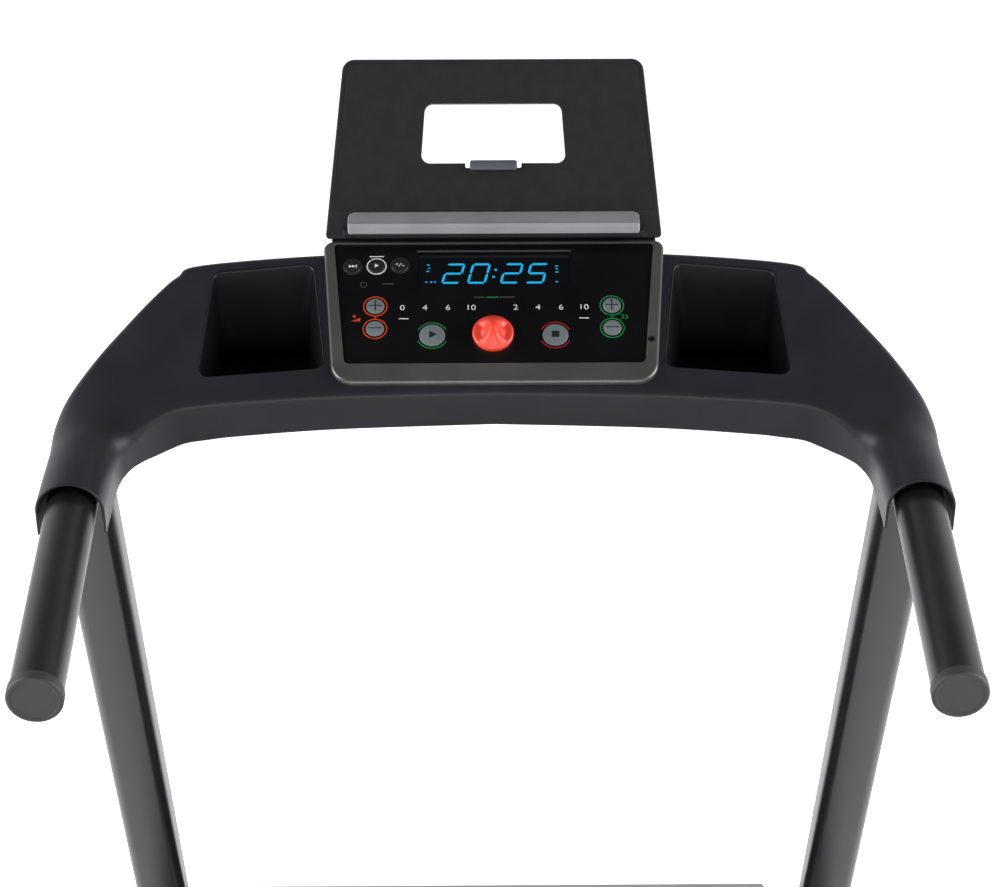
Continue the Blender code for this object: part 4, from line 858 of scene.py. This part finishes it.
def bar_mark(x, along, length, width, level, turn=0.0):
    """A printed bar centred on a place."""
    cos, sin = math.cos(math.radians(turn)), math.sin(math.radians(turn))
    corners = tapered(length, length, -width / 2, width / 2)
    return mark([(x + px * cos - py * sin, along + px * sin + py * cos) for px, py in corners], level)


STEP_KEYS = (("incline_up_key", INCLINE_X, STEP_UP, True), ("incline_down_key", INCLINE_X, STEP_DOWN, False),
             ("speed_up_key", SPEED_X, STEP_UP, True), ("speed_down_key", SPEED_X, STEP_DOWN, False))
STEP_DOME = 0.0009
for name, x, along, plus in STEP_KEYS:
    key = new_piece(f"{name}_cap", key_bm(x, along, STEP_RADIUS, STEP_DOME), key_silicone, name)
    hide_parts(name)
    level = KEY_TOP + STEP_DOME - 0.0001
    bars = [bar_mark(x, along, 0.0132, 0.0011, level)]
    if plus:
        bars.append(bar_mark(x, along, 0.0132, 0.0011, level + 0.00003, 90.0))
    new_piece(f"{name}_sign", gather(bars), black_ink, name)

MAIN_DOME = 0.0012
for name, (x, along) in (("start_key", START_PLACE), ("stop_key", STOP_PLACE)):
    key = new_piece(f"{name}_cap", key_bm(x, along, MAIN_RADIUS, MAIN_DOME), key_silicone, name)
    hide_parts(name)
    level = KEY_TOP + MAIN_DOME - 0.0001
    if name == "start_key":
        sign = mark([(x - 0.0030, along - 0.0045), (x + 0.0048, along), (x - 0.0030, along + 0.0045)], level)
    else:
        sign = bar_mark(x, along, 0.0076, 0.0076, level)
    new_piece(f"{name}_sign", sign, black_ink, name)

ROUND_KEYS = (("skip_key", SKIP_PLACE), ("display_key", DISPLAY_PLACE), ("select_key", SELECT_PLACE))
ROUND_DOME = 0.0004
for name, (x, along) in ROUND_KEYS:
    key = new_piece(f"{name}_cap", key_bm(x, along, ROUND_RADIUS, ROUND_DOME), dark_key, name)
    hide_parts(name)
    level = KEY_TOP + ROUND_DOME - 0.00005
    triangle = [(-0.0018, -0.0024), (0.0024, 0.0), (-0.0018, 0.0024)]
    if name == "skip_key":
        signs = [mark([(x - 0.0022 + px * 0.8, along + py * 0.8) for px, py in triangle], level),
                 mark([(x + 0.0012 + px * 0.8, along + py * 0.8) for px, py in triangle], level),
                 bar_mark(x + 0.0040, along, 0.0009, 0.0038, level)]
    elif name == "display_key":
        signs = [mark([(x + px, along + py) for px, py in triangle], level)]
    else:
        signs = [bar_mark(x - 0.0032, along + 0.0010, 0.0026, 0.0006, level),
                 bar_mark(x - 0.0032, along + 0.0010, 0.0026, 0.0006, level + 0.00003, 90.0),
                 bar_mark(x, along, 0.0052, 0.0006, level, 62.0),
                 bar_mark(x + 0.0034, along - 0.0010, 0.0026, 0.0006, level)]
    new_piece(f"{name}_sign", gather(signs), white_ink, name)

# %% [markdown]
# ## Printed markings
# The overlay's print is flat, so rings, icons and numbers are plates a tenth of a millimetre thick, just
# proud of it. Only plain numbers and signs are used. The numbers use Blender's own font.

# %% Overlay print
PRINT = -PANEL_SINK + 0.00002


def number_bm(text, x, along, size, level, place=on_panel, thickness=INK_THICK):
    """A number laid on a plane, widened a little like the lettering of such panels."""
    curve = bpy.data.curves.new("number", "FONT")
    curve.body = text
    curve.size = size
    curve.align_x = "CENTER"
    curve.align_y = "CENTER"
    curve.extrude = thickness / 2
    holder = bpy.data.objects.new("number", curve)
    scene.collection.objects.link(holder)
    bpy.context.view_layer.update()
    mesh = bpy.data.meshes.new_from_object(holder.evaluated_get(bpy.context.evaluated_depsgraph_get()))
    bpy.data.objects.remove(holder, do_unlink=True)
    bm = bmesh.new()
    bm.from_mesh(mesh)
    bpy.data.meshes.remove(mesh)
    bmesh.ops.remove_doubles(bm, verts=bm.verts, dist=1e-7)
    for vert in bm.verts:
        vert.co = place(x + vert.co.x * 1.18, along + vert.co.y, level + thickness / 2 + vert.co.z)
    bmesh.ops.recalc_face_normals(bm, faces=bm.faces)
    return bm


white_parts = [ring_mark(*DISPLAY_PLACE, 0.0098, 0.0013, PRINT)]
for text, x in (("0", -0.0944), ("4", -0.0712), ("6", -0.0476), ("10", -0.0241),
                ("2", 0.0220), ("4", 0.0450), ("6", 0.0685), ("10", 0.0918)):
    white_parts.append(number_bm(text, x, 0.0935, 0.0092, PRINT))
for x in (-0.0930, 0.0920):
    white_parts.append(bar_mark(x, 0.0800, 0.0100, 0.0012, PRINT))
white_parts.append(bar_mark(-0.1216, 0.1590, 0.0150, 0.0011, PRINT))
new_piece("overlay_white_print", gather(white_parts), white_ink, "base")

grey_parts = [ring_mark(*place, 0.0096, 0.0006, PRINT) for place in (SKIP_PLACE, SELECT_PLACE)]
grey_parts.append(ring_mark(-0.1345, 0.1230, 0.0032, 0.0007, PRINT))
for x, along, length in ((-0.1095, 0.1240, 0.0120), (-0.0150, 0.1066, 0.0110), (0.0135, 0.1066, 0.0150)):
    grey_parts.append(bar_mark(x, along, length, 0.0013, PRINT))
new_piece("overlay_grey_print", gather(grey_parts), grey_ink, "base")

RING_RADIUS = 0.0120
RING_WIDTH = 0.0012
MAIN_RING = 0.0158


def step_rings(x):
    """The rings round a pair of step keys and the short bar between them."""
    rings = [ring_mark(x, along, RING_RADIUS, RING_WIDTH, PRINT) for along in (STEP_UP, STEP_DOWN)]
    return rings + [bar_mark(x, (STEP_UP + STEP_DOWN) / 2, 0.0012, 0.0032, PRINT)]


def main_arcs(place):
    """Two open arcs round a main key."""
    return [ring_mark(*place, MAIN_RING, 0.0011, PRINT, first, last)
            for first, last in ((25.0, 155.0), (205.0, 335.0))]


def climb_icon(x, along):
    """A small slope with a dot above it, for the incline."""
    slope = mark([(x - 0.0048, along - 0.0030), (x + 0.0048, along - 0.0030),
                  (x + 0.0048, along + 0.0012)], PRINT)
    return [slope, ring_mark(x - 0.0015, along + 0.0032, 0.0008, 0.0014, PRINT)]


def speed_icon(x, along):
    """Two chevrons, for speed."""
    parts = []
    for shift in (-0.0024, 0.0018):
        parts.append(bar_mark(x + shift, along + 0.0013, 0.0042, 0.0010, PRINT, -45.0))
        parts.append(bar_mark(x + shift, along - 0.0013, 0.0042, 0.0010, PRINT, 45.0))
    return parts


orange_parts = step_rings(INCLINE_X) + climb_icon(-0.1420, 0.0800)
new_piece("overlay_orange_print", gather(orange_parts), orange_ink, "base")

green_parts = step_rings(SPEED_X) + [bar_mark(-0.0015, 0.1066, 0.0120, 0.0013, PRINT)]
green_parts += speed_icon(0.1340, 0.0815) + main_arcs(START_PLACE)
new_piece("overlay_green_print", gather(green_parts), green_ink, "base")
new_piece("overlay_red_print", gather(main_arcs(STOP_PLACE)), red_ink, "base")

# %% [markdown]
# ## Lit display
# The clock's digits are seven-segment bars that lean to the right. A table of which segments are lit gives
# each digit, and a shear gives the lean. They lie just over the smoked window, as light seems to.

# %% Display digits
DIGIT_FLOOR = -PANEL_SINK - 0.0003 + 0.00003
SEGMENTS = {"0": "abcdef", "1": "bc", "2": "abged", "3": "abgcd", "4": "fgbc", "5": "afgcd",
            "6": "afgecd", "7": "abc", "8": "abcdefg", "9": "abcdfg"}
DIGIT_WIDTH = 0.0172
DIGIT_HEIGHT = 0.0235
SEGMENT_THICK = 0.0024
DIGIT_SLANT = 0.24


def segment_ends(letter):
    w, h = DIGIT_WIDTH, DIGIT_HEIGHT
    return {"a": ((0, h), (w, h)), "b": ((w, h / 2), (w, h)), "c": ((w, 0), (w, h / 2)),
            "d": ((0, 0), (w, 0)), "e": ((0, 0), (0, h / 2)), "f": ((0, h / 2), (0, h)),
            "g": ((0, h / 2), (w, h / 2))}[letter]


def segment_mark(start, end, x, along):
    """A bar with pointed ends between two corners of the figure."""
    start, end = Vector(start), Vector(end)
    run = (end - start).normalized()
    side = Vector((-run.y, run.x)) * SEGMENT_THICK / 2
    tip = SEGMENT_THICK / 2 + 0.0002
    start += run * 0.0002
    end -= run * 0.0002
    outline = [start, start + run * tip + side * -1, end - run * tip - side, end, end - run * tip + side,
               start + run * tip + side]
    return mark([(x + p.x + p.y * DIGIT_SLANT, along + p.y) for p in outline], DIGIT_FLOOR)


lit = []
for digit, x in (("2", -0.0535), ("0", -0.0270), ("2", 0.0070), ("5", 0.0330)):
    lit += [segment_mark(*segment_ends(letter), x, 0.1252) for letter in SEGMENTS[digit]]
for height in (0.0075, 0.0165):
    lit.append(bar_mark(-0.0022 + height * DIGIT_SLANT, 0.1252 + height, 0.0024, 0.0024, DIGIT_FLOOR))
for x, along, length in ((-0.0680, 0.1480, 0.0030), (-0.0672, 0.1440, 0.0018), (-0.0686, 0.1400, 0.0030),
                         (-0.0700, 0.1262, 0.0024), (-0.0650, 0.1262, 0.0024), (-0.0610, 0.1262, 0.0020),
                         (0.0650, 0.1460, 0.0030), (0.0650, 0.1425, 0.0022), (0.0650, 0.1385, 0.0030),
                         (0.0648, 0.1262, 0.0026)):
    lit.append(bar_mark(x, along, length, 0.0013, DIGIT_FLOOR))
new_piece("lit_display_digits", gather(lit), lit_segment, "base")
# A grey bar along the display window's upper ledge: a painted highlight for the light that the ledge catches.
new_piece("display_ledge_painted_highlight", bar_mark(0.0, 0.1655, 0.1600, 0.0022, PRINT), grey_ink, "base")

# %% [markdown]
# ## Safety key
# The red safety key is a round cap that a finger and thumb pinch. It starts as a spun dome, and the two
# finger scoops are pressed in by moving the dome's own points down around two centres, which leaves the
# upright grip between them.

# %% Safety key
SAFETY = (-0.0015, 0.0588)
SAFETY_RADIUS = 0.0212
DOME_RISE = 0.0115
SCOOP_X = 0.0115
SCOOP_Y = -0.0005
SCOOP_HALF_WIDTH = 0.0066
SCOOP_HALF_LENGTH = 0.0092
SCOOP_DEPTH = 0.0062


def safety_bm():
    """A shallow dome with a softened rim on a short post, two finger scoops and the fin between them."""
    seat = -PANEL_SINK + 0.0003
    profile = [(0.0, -0.0080), (0.0050, -0.0080), (0.0050, seat), (SAFETY_RADIUS - 0.0008, seat)]
    for px, py in arc(0.0030, -20.0, 70.0, 6):
        profile.append((SAFETY_RADIUS - 0.0030 + px, 0.0022 + py))
    rim_radius, rim_height = profile[-1]
    steps = 30
    for step in range(1, steps + 1):
        share = step / steps
        rise = DOME_RISE * math.sin(share * math.pi / 2) ** 0.9
        profile.append((rim_radius * (1 - share), rim_height + rise))
    middle = on_panel(*SAFETY)
    bm = turned(profile, middle, PANEL_NORMAL, 160)
    along_dir = (on_panel(0, 1.0) - on_panel(0, 0)).normalized()
    for vert in bm.verts:
        offset = vert.co - middle
        height = offset.dot(PANEL_NORMAL)
        if height < rim_height:
            continue
        x, y = abs(offset.x), offset.dot(along_dir)
        reach = ((x - SCOOP_X) / SCOOP_HALF_WIDTH) ** 2 + ((y - SCOOP_Y) / SCOOP_HALF_LENGTH) ** 2
        pressed = min(SCOOP_DEPTH / (1.0 + reach ** 3), height - rim_height)
        vert.co -= PANEL_NORMAL * pressed
    bmesh.ops.smooth_vert(bm, verts=[v for v in bm.verts if (v.co - middle).dot(PANEL_NORMAL) > rim_height],
                          factor=0.3, use_axis_x=True, use_axis_y=True, use_axis_z=True)
    return bm


safety = new_piece("safety_key_grip", safety_bm(), red_abs, "safety_key")
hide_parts("safety_key")

# %% [markdown]
# ## Tablet holder
# The holder is a flat moulding with a rounded rim that stands round a recessed foam mat. A window and a
# notch go right through both. The cuts are Booleans with the same outlines, so the edges line up.

# %% Tablet holder and mat
HOLDER_LENGTH = 0.1905
HOLDER_WIDTH = 0.351
HOLDER_TOP_WIDTH = 0.312
FLANGE_HALF = 0.170
NECK_HALF = 0.169
HOLDER_FOOT = 0.004
HOLDER_THICK = 0.010
LEDGE_TOP = 0.0320
CLIP_WIDTH = 0.0496
MAT_TAPER = (HOLDER_WIDTH - HOLDER_TOP_WIDTH) / HOLDER_LENGTH
MAT_EDGE = 0.0042


def mat_corners(shrink):
    low, high = LEDGE_TOP + 0.0005, HOLDER_LENGTH - MAT_EDGE
    widths = [HOLDER_WIDTH - MAT_TAPER * up - 2 * (MAT_EDGE + shrink) for up in (low, high)]
    return rounded(tapered(*widths, low + shrink, high - shrink), [0.003, 0.003, 0.009, 0.009], 10)


def window_cutters():
    window = rounded(tapered(0.1514, 0.1420, 0.082, 0.1442), 0.009, 10)
    notch = rounded(tapered(CLIP_WIDTH + 0.009, CLIP_WIDTH + 0.009, 0.0772, 0.0920), 0.0018, 5)
    return [scratch("window", plate(window, on_holder, -0.030, 0.020)),
            scratch("notch", plate(notch, on_holder, -0.030, 0.020))]


outline = rounded(tapered(HOLDER_WIDTH, HOLDER_TOP_WIDTH, HOLDER_FOOT, HOLDER_LENGTH),
                  [0.004, 0.004, 0.013, 0.013], 12)
holder = new_piece("tablet_holder_moulding", plate(outline, on_holder, -HOLDER_THICK, 0.0, 0.0013, 4, True),
                   holder_abs, "base")
carve(holder, [scratch("recess", plate(mat_corners(0.0), on_holder, -0.0015, 0.010))] + window_cutters())
cad_holder_low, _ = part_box("tablet_holder_back")
neck_top = on_holder(0, 0.006, -HOLDER_THICK).z
bezel_foot = on_panel(0, BEZEL_LENGTH, -BEZEL_HEIGHT)
flange = block((-FLANGE_HALF, HOOD_MOUTH_Y + 0.3123, cad_holder_low.z),
               (FLANGE_HALF, bezel_foot.y + 0.0085, bezel_foot.z - 0.002), 0.001)
neck = block((-NECK_HALF, bezel_foot.y + 0.0015, cad_holder_low.z + 0.010),
             (NECK_HALF, bezel_foot.y + 0.008, neck_top), 0.001)
ribs = []
for x in (-0.120, -0.060, 0.0, 0.060, 0.120):
    ribs.append(block((x - 0.0012, bezel_foot.y + 0.006, cad_holder_low.z + 0.004),
                      (x + 0.0012, bezel_foot.y + 0.0105, neck_top - 0.002), 0.0004, 1))
new_piece("tablet_holder_foot", gather([flange, neck] + ribs), holder_abs, "base")
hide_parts("tablet_holder_back")

mat = new_piece("tablet_foam_mat", plate(mat_corners(0.0003), on_holder, -0.0012, 0.0002, 0.0004, 2),
                mat_foam, "base")
carve(mat, window_cutters())
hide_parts("tablet_mat")

# %% [markdown]
# The ledge that a tablet stands on is a grey moulding with rounded ends and a raised front lip. Under it,
# a dark trim bar with two end blocks closes the gap to the console.

# %% Ledge, trim and clip
ledge_low, ledge_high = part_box("tablet_ledge")


def in_plan(x, y, z):
    return Vector((x, y, z))


half_ledge = (ledge_high.x - ledge_low.x) / 2
ledge_back = on_holder(0, LEDGE_TOP, 0.0003).y
ledge_outline = rounded(tapered(2 * half_ledge, 2 * half_ledge, ledge_low.y, ledge_back),
                        [0.003, 0.003, 0.008, 0.008], 10)
ledge = new_piece("tablet_grip_ledge",
                  plate(ledge_outline, in_plan, ledge_low.z + 0.001, ledge_high.z, 0.0016, 4), ledge_abs,
                  "base")
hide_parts("tablet_ledge")
lip_width = 2 * (half_ledge - 0.002)
lip_outline = rounded(tapered(lip_width, lip_width, ledge_low.y + 0.0008, ledge_low.y + 0.0034), 0.0012, 4)
new_piece("tablet_ledge_lip",
          plate(lip_outline, in_plan, ledge_high.z - 0.001, ledge_high.z + 0.0012, 0.0005, 3),
          ledge_abs, "base")

trim_parts = [block((-half_ledge, ledge_low.y + 0.0020, ledge_low.z - 0.0055),
                    (half_ledge, ledge_low.y + 0.0110, ledge_low.z + 0.0005), 0.0012)]
for sign in (-1, 1):
    trim_parts.append(block((sign * half_ledge - 0.0045, ledge_low.y + 0.0012, ledge_low.z - 0.0060),
                            (sign * half_ledge + 0.0045, ledge_low.y + 0.0130, ledge_low.z + 0.0030), 0.0012))
new_piece("ledge_trim_bar", gather(trim_parts), holder_abs, "base")

clip_low = 0.0775
neck_outline = rounded(tapered(CLIP_WIDTH - 0.002, CLIP_WIDTH - 0.002, clip_low, clip_low + 0.0065), 0.002, 5)
hook_outline = rounded(tapered(CLIP_WIDTH, CLIP_WIDTH, clip_low - 0.0032, clip_low + 0.0072), 0.0028, 8)
runner_outline = tapered(CLIP_WIDTH - 0.006, CLIP_WIDTH - 0.006, 0.027, clip_low + 0.004)
clip_parts = [plate(neck_outline, on_holder, -HOLDER_THICK - 0.0040, 0.0035),
              plate(hook_outline, on_holder, 0.0008, 0.0075, 0.0018, 4, True),
              plate(runner_outline, on_holder, -HOLDER_THICK - 0.0038, -HOLDER_THICK - 0.0010, 0.0005)]
clip = new_piece("tablet_clip_moulding", gather(clip_parts), clip_abs, "tablet_clip")
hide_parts("tablet_clip")

# %% [markdown]
# ## Handlebars and uprights
# The handlebars are round steel tube, so they are spun, finely enough that the long bright lines along
# them stay straight. Their moulded end caps have a rounded rim and a shallow dish. The uprights are
# rectangular tube with rolled corners, which a sweep of two outlines gives.

# %% Handlebars and caps
HANDLE_FACE_Y = HOOD_MOUTH_Y - 0.279
CAP_LENGTH = 0.012
for side, sign in SIDES:
    centre = (sign * HANDLE_X, 0.0, HANDLE_HEIGHT)
    start = HANDLE_FACE_Y + CAP_LENGTH + 0.0003
    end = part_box(f"{side}_handlebar")[1].y
    bore = HANDLE_RADIUS - 0.002
    tube = [(bore, start), (HANDLE_RADIUS - 0.0005, start), (HANDLE_RADIUS, start + 0.0005),
            (HANDLE_RADIUS, end), (bore, end)]
    bar = new_piece(f"{side}_handlebar_tube", turned(tube, centre, (0, 1, 0), 128), powder_coat,
                    "base")
    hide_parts(f"{side}_handlebar")

    rim = HANDLE_RADIUS + 0.0015
    face = HANDLE_FACE_Y
    profile = [(0.0, face + 0.0010), (rim - 0.0055, face + 0.0010), (rim - 0.0045, face + 0.0002)]
    for px, py in arc(0.0030, 180.0 + 70.0, 360.0, 8):
        profile.append((rim - 0.0030 + px, face + 0.0030 + py))
    profile += [(rim, face + CAP_LENGTH - 0.0006), (rim - 0.0006, face + CAP_LENGTH),
                (bore - 0.0003, face + CAP_LENGTH), (bore - 0.0003, face + CAP_LENGTH + 0.018),
                (0.0, face + CAP_LENGTH + 0.018)]
    cap = new_piece(f"{side}_handlebar_end_cap", turned(profile, centre, (0, 1, 0), 96), cap_rubber,
                    "base")
    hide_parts(f"{side}_handlebar_cap")

# %% Uprights and their covers
UPRIGHT_X = 0.417
UPRIGHT_WIDTH = 0.0606
UPRIGHT_DEPTH = 0.042
UPRIGHT_LEAN = math.radians(17.9)
COVER_CORNER = 0.012


def upright_y(z):
    return HOOD_MOUTH_Y + 0.0867 + (HANDLE_HEIGHT - z) * math.tan(UPRIGHT_LEAN)


def upright_outline(x, z, grow=0.0):
    half_width = UPRIGHT_WIDTH / 2 + grow
    half_depth = UPRIGHT_DEPTH / 2 + grow
    corners = [(-half_width, -half_depth), (half_width, -half_depth), (half_width, half_depth),
               (-half_width, half_depth)]
    return [(x + px, upright_y(z) + py, z) for px, py in rounded(corners, 0.012 + grow, 12)]


for side, sign in SIDES:
    low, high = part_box(f"{side}_upright")
    x = sign * UPRIGHT_X
    inner = -0.002
    sections = [upright_outline(x, low.z), upright_outline(x, high.z), upright_outline(x, high.z, inner),
                upright_outline(x, low.z, inner), upright_outline(x, low.z)]
    post = new_piece(f"{side}_upright_tube", sweep(sections), powder_coat, "base")
    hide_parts(f"{side}_upright")

    cover_low, cover_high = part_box(f"{side}_upright_cover")
    outside = []
    edges = sorted((cover_low.x, cover_high.x), key=lambda value: value * sign)
    levels = ((cover_low.z, 0.0), (cover_low.z + 0.045, 0.0015), (cover_high.z - 0.004, 0.0038),
              (cover_high.z - 0.001, 0.0050), (cover_high.z, 0.0070))
    for z, inset in levels:
        half = 0.052 - (z - cover_low.z) * 0.22 - max(0.0, inset - 0.0038)
        shrink = inset / 4 + max(0.0, inset - 0.0038) * 0.75
        first, second = edges[0] + sign * shrink, edges[1] - sign * shrink
        corners = [(first, upright_y(z) - half), (second, upright_y(z) - half),
                   (second, upright_y(z) + half), (first, upright_y(z) + half)]
        if sign < 0:
            corners.reverse()
        outside.append([(px, py, z) for px, py in rounded(corners, COVER_CORNER, 8)])
    cover = new_piece(f"{side}_upright_boot", sweep(outside, capped=True), moulded_abs,
                      "base")
    hole = [upright_outline(x, z, 0.0006) for z in (cover_low.z - 0.02, cover_high.z + 0.02)]
    carve(cover, [scratch("hole", sweep(hole, capped=True))])
    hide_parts(f"{side}_upright_cover")

# %% [markdown]
# ## Deck
# The belt runs over two rollers, so its loop is drawn as two straights and two half turns. The foot rails
# beside it carry long grip ribs. The motor hood is a soft-cornered moulding with cooling slots.

# %% Walking belt
belt_low, belt_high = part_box("walking_belt")
roller_low, roller_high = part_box("rear_roller")
BELT_THICK = 0.002
roller_radius = (roller_high.y - roller_low.y) / 2
roller_z = (roller_low.z + roller_high.z) / 2
front_y = belt_high.y - (belt_high.z - belt_low.z) / 2
rear_y = (roller_low.y + roller_high.y) / 2


def belt_loop(radius):
    loop = []
    for centre, first in ((front_y, -90.0), (rear_y, 90.0)):
        loop += arc(radius, first, first + 180.0, 24, (centre, roller_z))
    return loop


inner = belt_loop(roller_radius + 0.0003)
outer = belt_loop(roller_radius + 0.0003 + BELT_THICK)
softer = belt_loop(roller_radius + 0.0003 + BELT_THICK - 0.0005)
half = belt_high.x
sections = [[(x, y, z) for y, z in loop] for loop, x in
            ((inner, -half), (softer, -half), (outer, -half + 0.0005), (outer, half - 0.0005), (softer, half),
             (inner, half), (inner, -half))]
belt = new_piece("walking_belt_band", sweep(sections), belt_pvc, "deck")
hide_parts("walking_belt")

# %% Foot rails and end caps
def in_side_view(y, z, x):
    return Vector((x, y, z))


for side, sign in SIDES:
    low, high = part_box(f"{side}_foot_rail")
    inner_x = min(abs(low.x), abs(high.x))
    outer_x = max(abs(low.x), abs(high.x))
    wall = 0.003
    lip = belt_high.z + 0.0010
    top = high.z
    profile = [(inner_x, lip), (inner_x, top - 0.002)]
    profile += arc(0.003, 180.0, 90.0, 4, (inner_x + 0.003, top - 0.003))
    for rib in range(9):
        base = inner_x + 0.014 + rib * 0.0085
        profile += [(base, top), (base + 0.0008, top - 0.0009),
                    (base + 0.0032, top - 0.0009), (base + 0.0040, top)]
    profile += arc(0.006, 90.0, 0.0, 6, (outer_x - 0.006, top - 0.006))
    profile += [(outer_x, low.z), (outer_x - wall, low.z), (outer_x - wall, top - wall - 0.003),
                (inner_x + wall, top - wall - 0.003), (inner_x + wall, lip)]
    sections = [[(sign * x, y, z) for x, z in profile] for y in (low.y, high.y)]
    rail = new_piece(f"{side}_foot_rail_moulding", sweep(sections, capped=True), moulded_abs,
                     "deck")
    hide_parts(f"{side}_foot_rail")

    low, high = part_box(f"{side}_rear_end_cap")
    corners = [(low.y, 0.0), (high.y, 0.0), (high.y, high.z), (low.y, high.z)]
    radii = [0.006, 0.003, 0.002, 0.022]

    cap = new_piece(f"{side}_rear_cap_moulding",
                    plate(rounded(corners, radii, 8), in_side_view, low.x, high.x, 0.002, 4, True),
                    moulded_abs, "deck")
    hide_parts(f"{side}_rear_end_cap")

# %% Motor hood
hood_low, hood_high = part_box("motor_hood")
hood_top = hood_high.z
hood_corners = [(hood_low.y, hood_low.z), (hood_high.y, hood_low.z), (hood_high.y, hood_low.z + 0.070),
                (hood_high.y - 0.075, hood_top), (hood_low.y + 0.075, hood_top), (hood_low.y, 0.192)]
hood_radii = [0.001, 0.001, 0.030, 0.050, 0.060, 0.018]
hood_outline = rounded(hood_corners, hood_radii, 10)
hood_bm = plate(hood_outline, in_side_view, hood_low.x, hood_high.x)
hood_rim = []
for edge in hood_bm.edges:
    above_base = max(vert.co.z for vert in edge.verts) > hood_low.z + 0.003
    if above_base and edge.calc_face_angle(0.0) > math.radians(60.0):
        hood_rim.append(edge)
soften_edges(hood_bm, hood_rim, 0.007, 5)
hood = new_piece("motor_hood_moulding", hood_bm, moulded_abs, "deck")
inside_corners = [(hood_low.y + 0.003, hood_low.z - 0.01), (hood_high.y - 0.003, hood_low.z - 0.01),
                  (hood_high.y - 0.003, hood_low.z + 0.068), (hood_high.y - 0.076, hood_top - 0.003),
                  (hood_low.y + 0.076, hood_top - 0.003), (hood_low.y + 0.003, 0.190)]
cutters = [scratch("inside", plate(rounded(inside_corners, hood_radii, 6), in_side_view, hood_low.x + 0.003,
                                   hood_high.x - 0.003))]
_, deck_frame_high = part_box("deck_frame")
rail_clear = deck_frame_high.x + 0.002
cutters.append(scratch("rail_slot", block((-rail_clear, hood_low.y - 0.01, hood_low.z - 0.02),
                                          (rail_clear, hood_low.y + 0.004, deck_frame_high.z + 0.002))))
pulley_low, pulley_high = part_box("drive_belt")
slot_low = (pulley_low.x - 0.012, hood_low.y - 0.01, hood_low.z - 0.02)
slot_high = (pulley_high.x + 0.006, hood_low.y + 0.004, pulley_high.z + 0.007)
cutters.append(scratch("belt_slot", block(slot_low, slot_high)))
switch_low, switch_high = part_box("power_switch")
inlet_low, inlet_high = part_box("power_inlet")
panel_z = (inlet_low.z + inlet_high.z) / 2
for low, high, tall in ((switch_low, switch_high, 0.016), (inlet_low, inlet_high, 0.012)):
    cutters.append(scratch("socket", block((low.x - 0.0004, hood_high.y - 0.02, panel_z - tall),
                                           (high.x + 0.0004, hood_high.y + 0.02, panel_z + tall))))
for row in range(7):
    y = hood_low.y + 0.105 + row * 0.011
    for sign in (-1, 1):
        edges = sorted((sign * 0.060, sign * 0.170))
        cutters.append(scratch("vent", block((edges[0], y, hood_top - 0.010),
                                             (edges[1], y + 0.0045, hood_top + 0.010))))
carve(hood, cutters)
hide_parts("motor_hood")

# %% [markdown]
# ## Wheels and feet
# Small round pieces show facets first, so the wheels are spun again with more steps, and get two grooves.
# The feet are rubber pads with a softened edge.

# %% Wheels and feet
WHEEL_BORE = 0.0065
for side, sign in SIDES:
    name = f"{side}_transport_wheel"
    low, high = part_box(name)
    radius = (high.z - low.z) / 2
    centre = ((low.x + high.x) / 2, (low.y + high.y) / 2, (low.z + high.z) / 2)
    half = (high.x - low.x) / 2
    profile = [(WHEEL_BORE, -half), (radius - 0.011, -half), (radius - 0.010, -half + 0.0022),
               (radius - 0.007, -half + 0.0022), (radius - 0.006, -half)]
    profile += [(radius - 0.003 + px, -half + 0.003 + py) for px, py in arc(0.003, -90.0, 0.0, 5)]
    for groove in (-0.006, 0.006):
        profile += [(radius, groove - 0.0012), (radius - 0.0010, groove - 0.0006),
                    (radius - 0.0010, groove + 0.0006), (radius, groove + 0.0012)]
    profile += [(radius - 0.003 + px, half - 0.003 + py) for px, py in arc(0.003, 0.0, 90.0, 5)]
    profile += [(radius - 0.006, half), (radius - 0.007, half - 0.0022), (radius - 0.010, half - 0.0022),
                (radius - 0.011, half), (WHEEL_BORE, half)]
    wheel = new_piece(f"{side}_wheel_tyre", turned(profile, centre, (1, 0, 0), 72), tyre_rubber,
                      name)
    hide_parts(name)
    for where in ("front", "rear"):
        low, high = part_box(f"{side}_{where}_foot")
        pad = new_piece(f"{side}_{where}_foot_pad", block(low, high, 0.0022, 4), tyre_rubber,
                        "base")
        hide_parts(f"{side}_{where}_foot")

# %% [markdown]
# ## Fasteners
# Screws hold the upright covers to the base and the end caps to the deck. They are small, alike and many,
# so one pan-head profile with a round socket is placed by a loop.

# %% Screws
def screw_bm(place, axis, radius):
    """A pan head with a round socket."""
    head = radius * 0.55
    profile = [(0.0, -0.0015), (radius * 0.98, -0.0015), (radius, 0.0)]
    for px, py in arc(1.0, 0.0, 60.0, 4):
        profile.append((radius * (0.45 + 0.55 * px), head * py))
    profile += [(radius * 0.52, head * 0.90), (radius * 0.46, head * 0.35), (0.0, head * 0.30)]
    return turned(profile, place, axis, 24)


screws = []
for side, sign in SIDES:
    low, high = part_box(f"{side}_upright_cover")
    for z in (low.z + 0.030, low.z + 0.060):
        screws.append(screw_bm((high.x if sign > 0 else low.x, upright_y(z), z), (sign, 0, 0), 0.0042))
new_piece("base_screws", gather(screws), bare_steel, "base")
deck_screws = []
for side, sign in SIDES:
    low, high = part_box(f"{side}_rear_end_cap")
    for x in (low.x + 0.025, high.x - 0.025):
        deck_screws.append(screw_bm((x, low.y + 0.0002, 0.120), (0, -1, 0), 0.0042))
new_piece("deck_screws", gather(deck_screws), bare_steel, "deck")

# %% [markdown]
# ## Finish
# The visual model's box is printed.

# %% Sizes and finish
low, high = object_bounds()
print("visual box", [round(v, 4) for v in (*low, *high)])
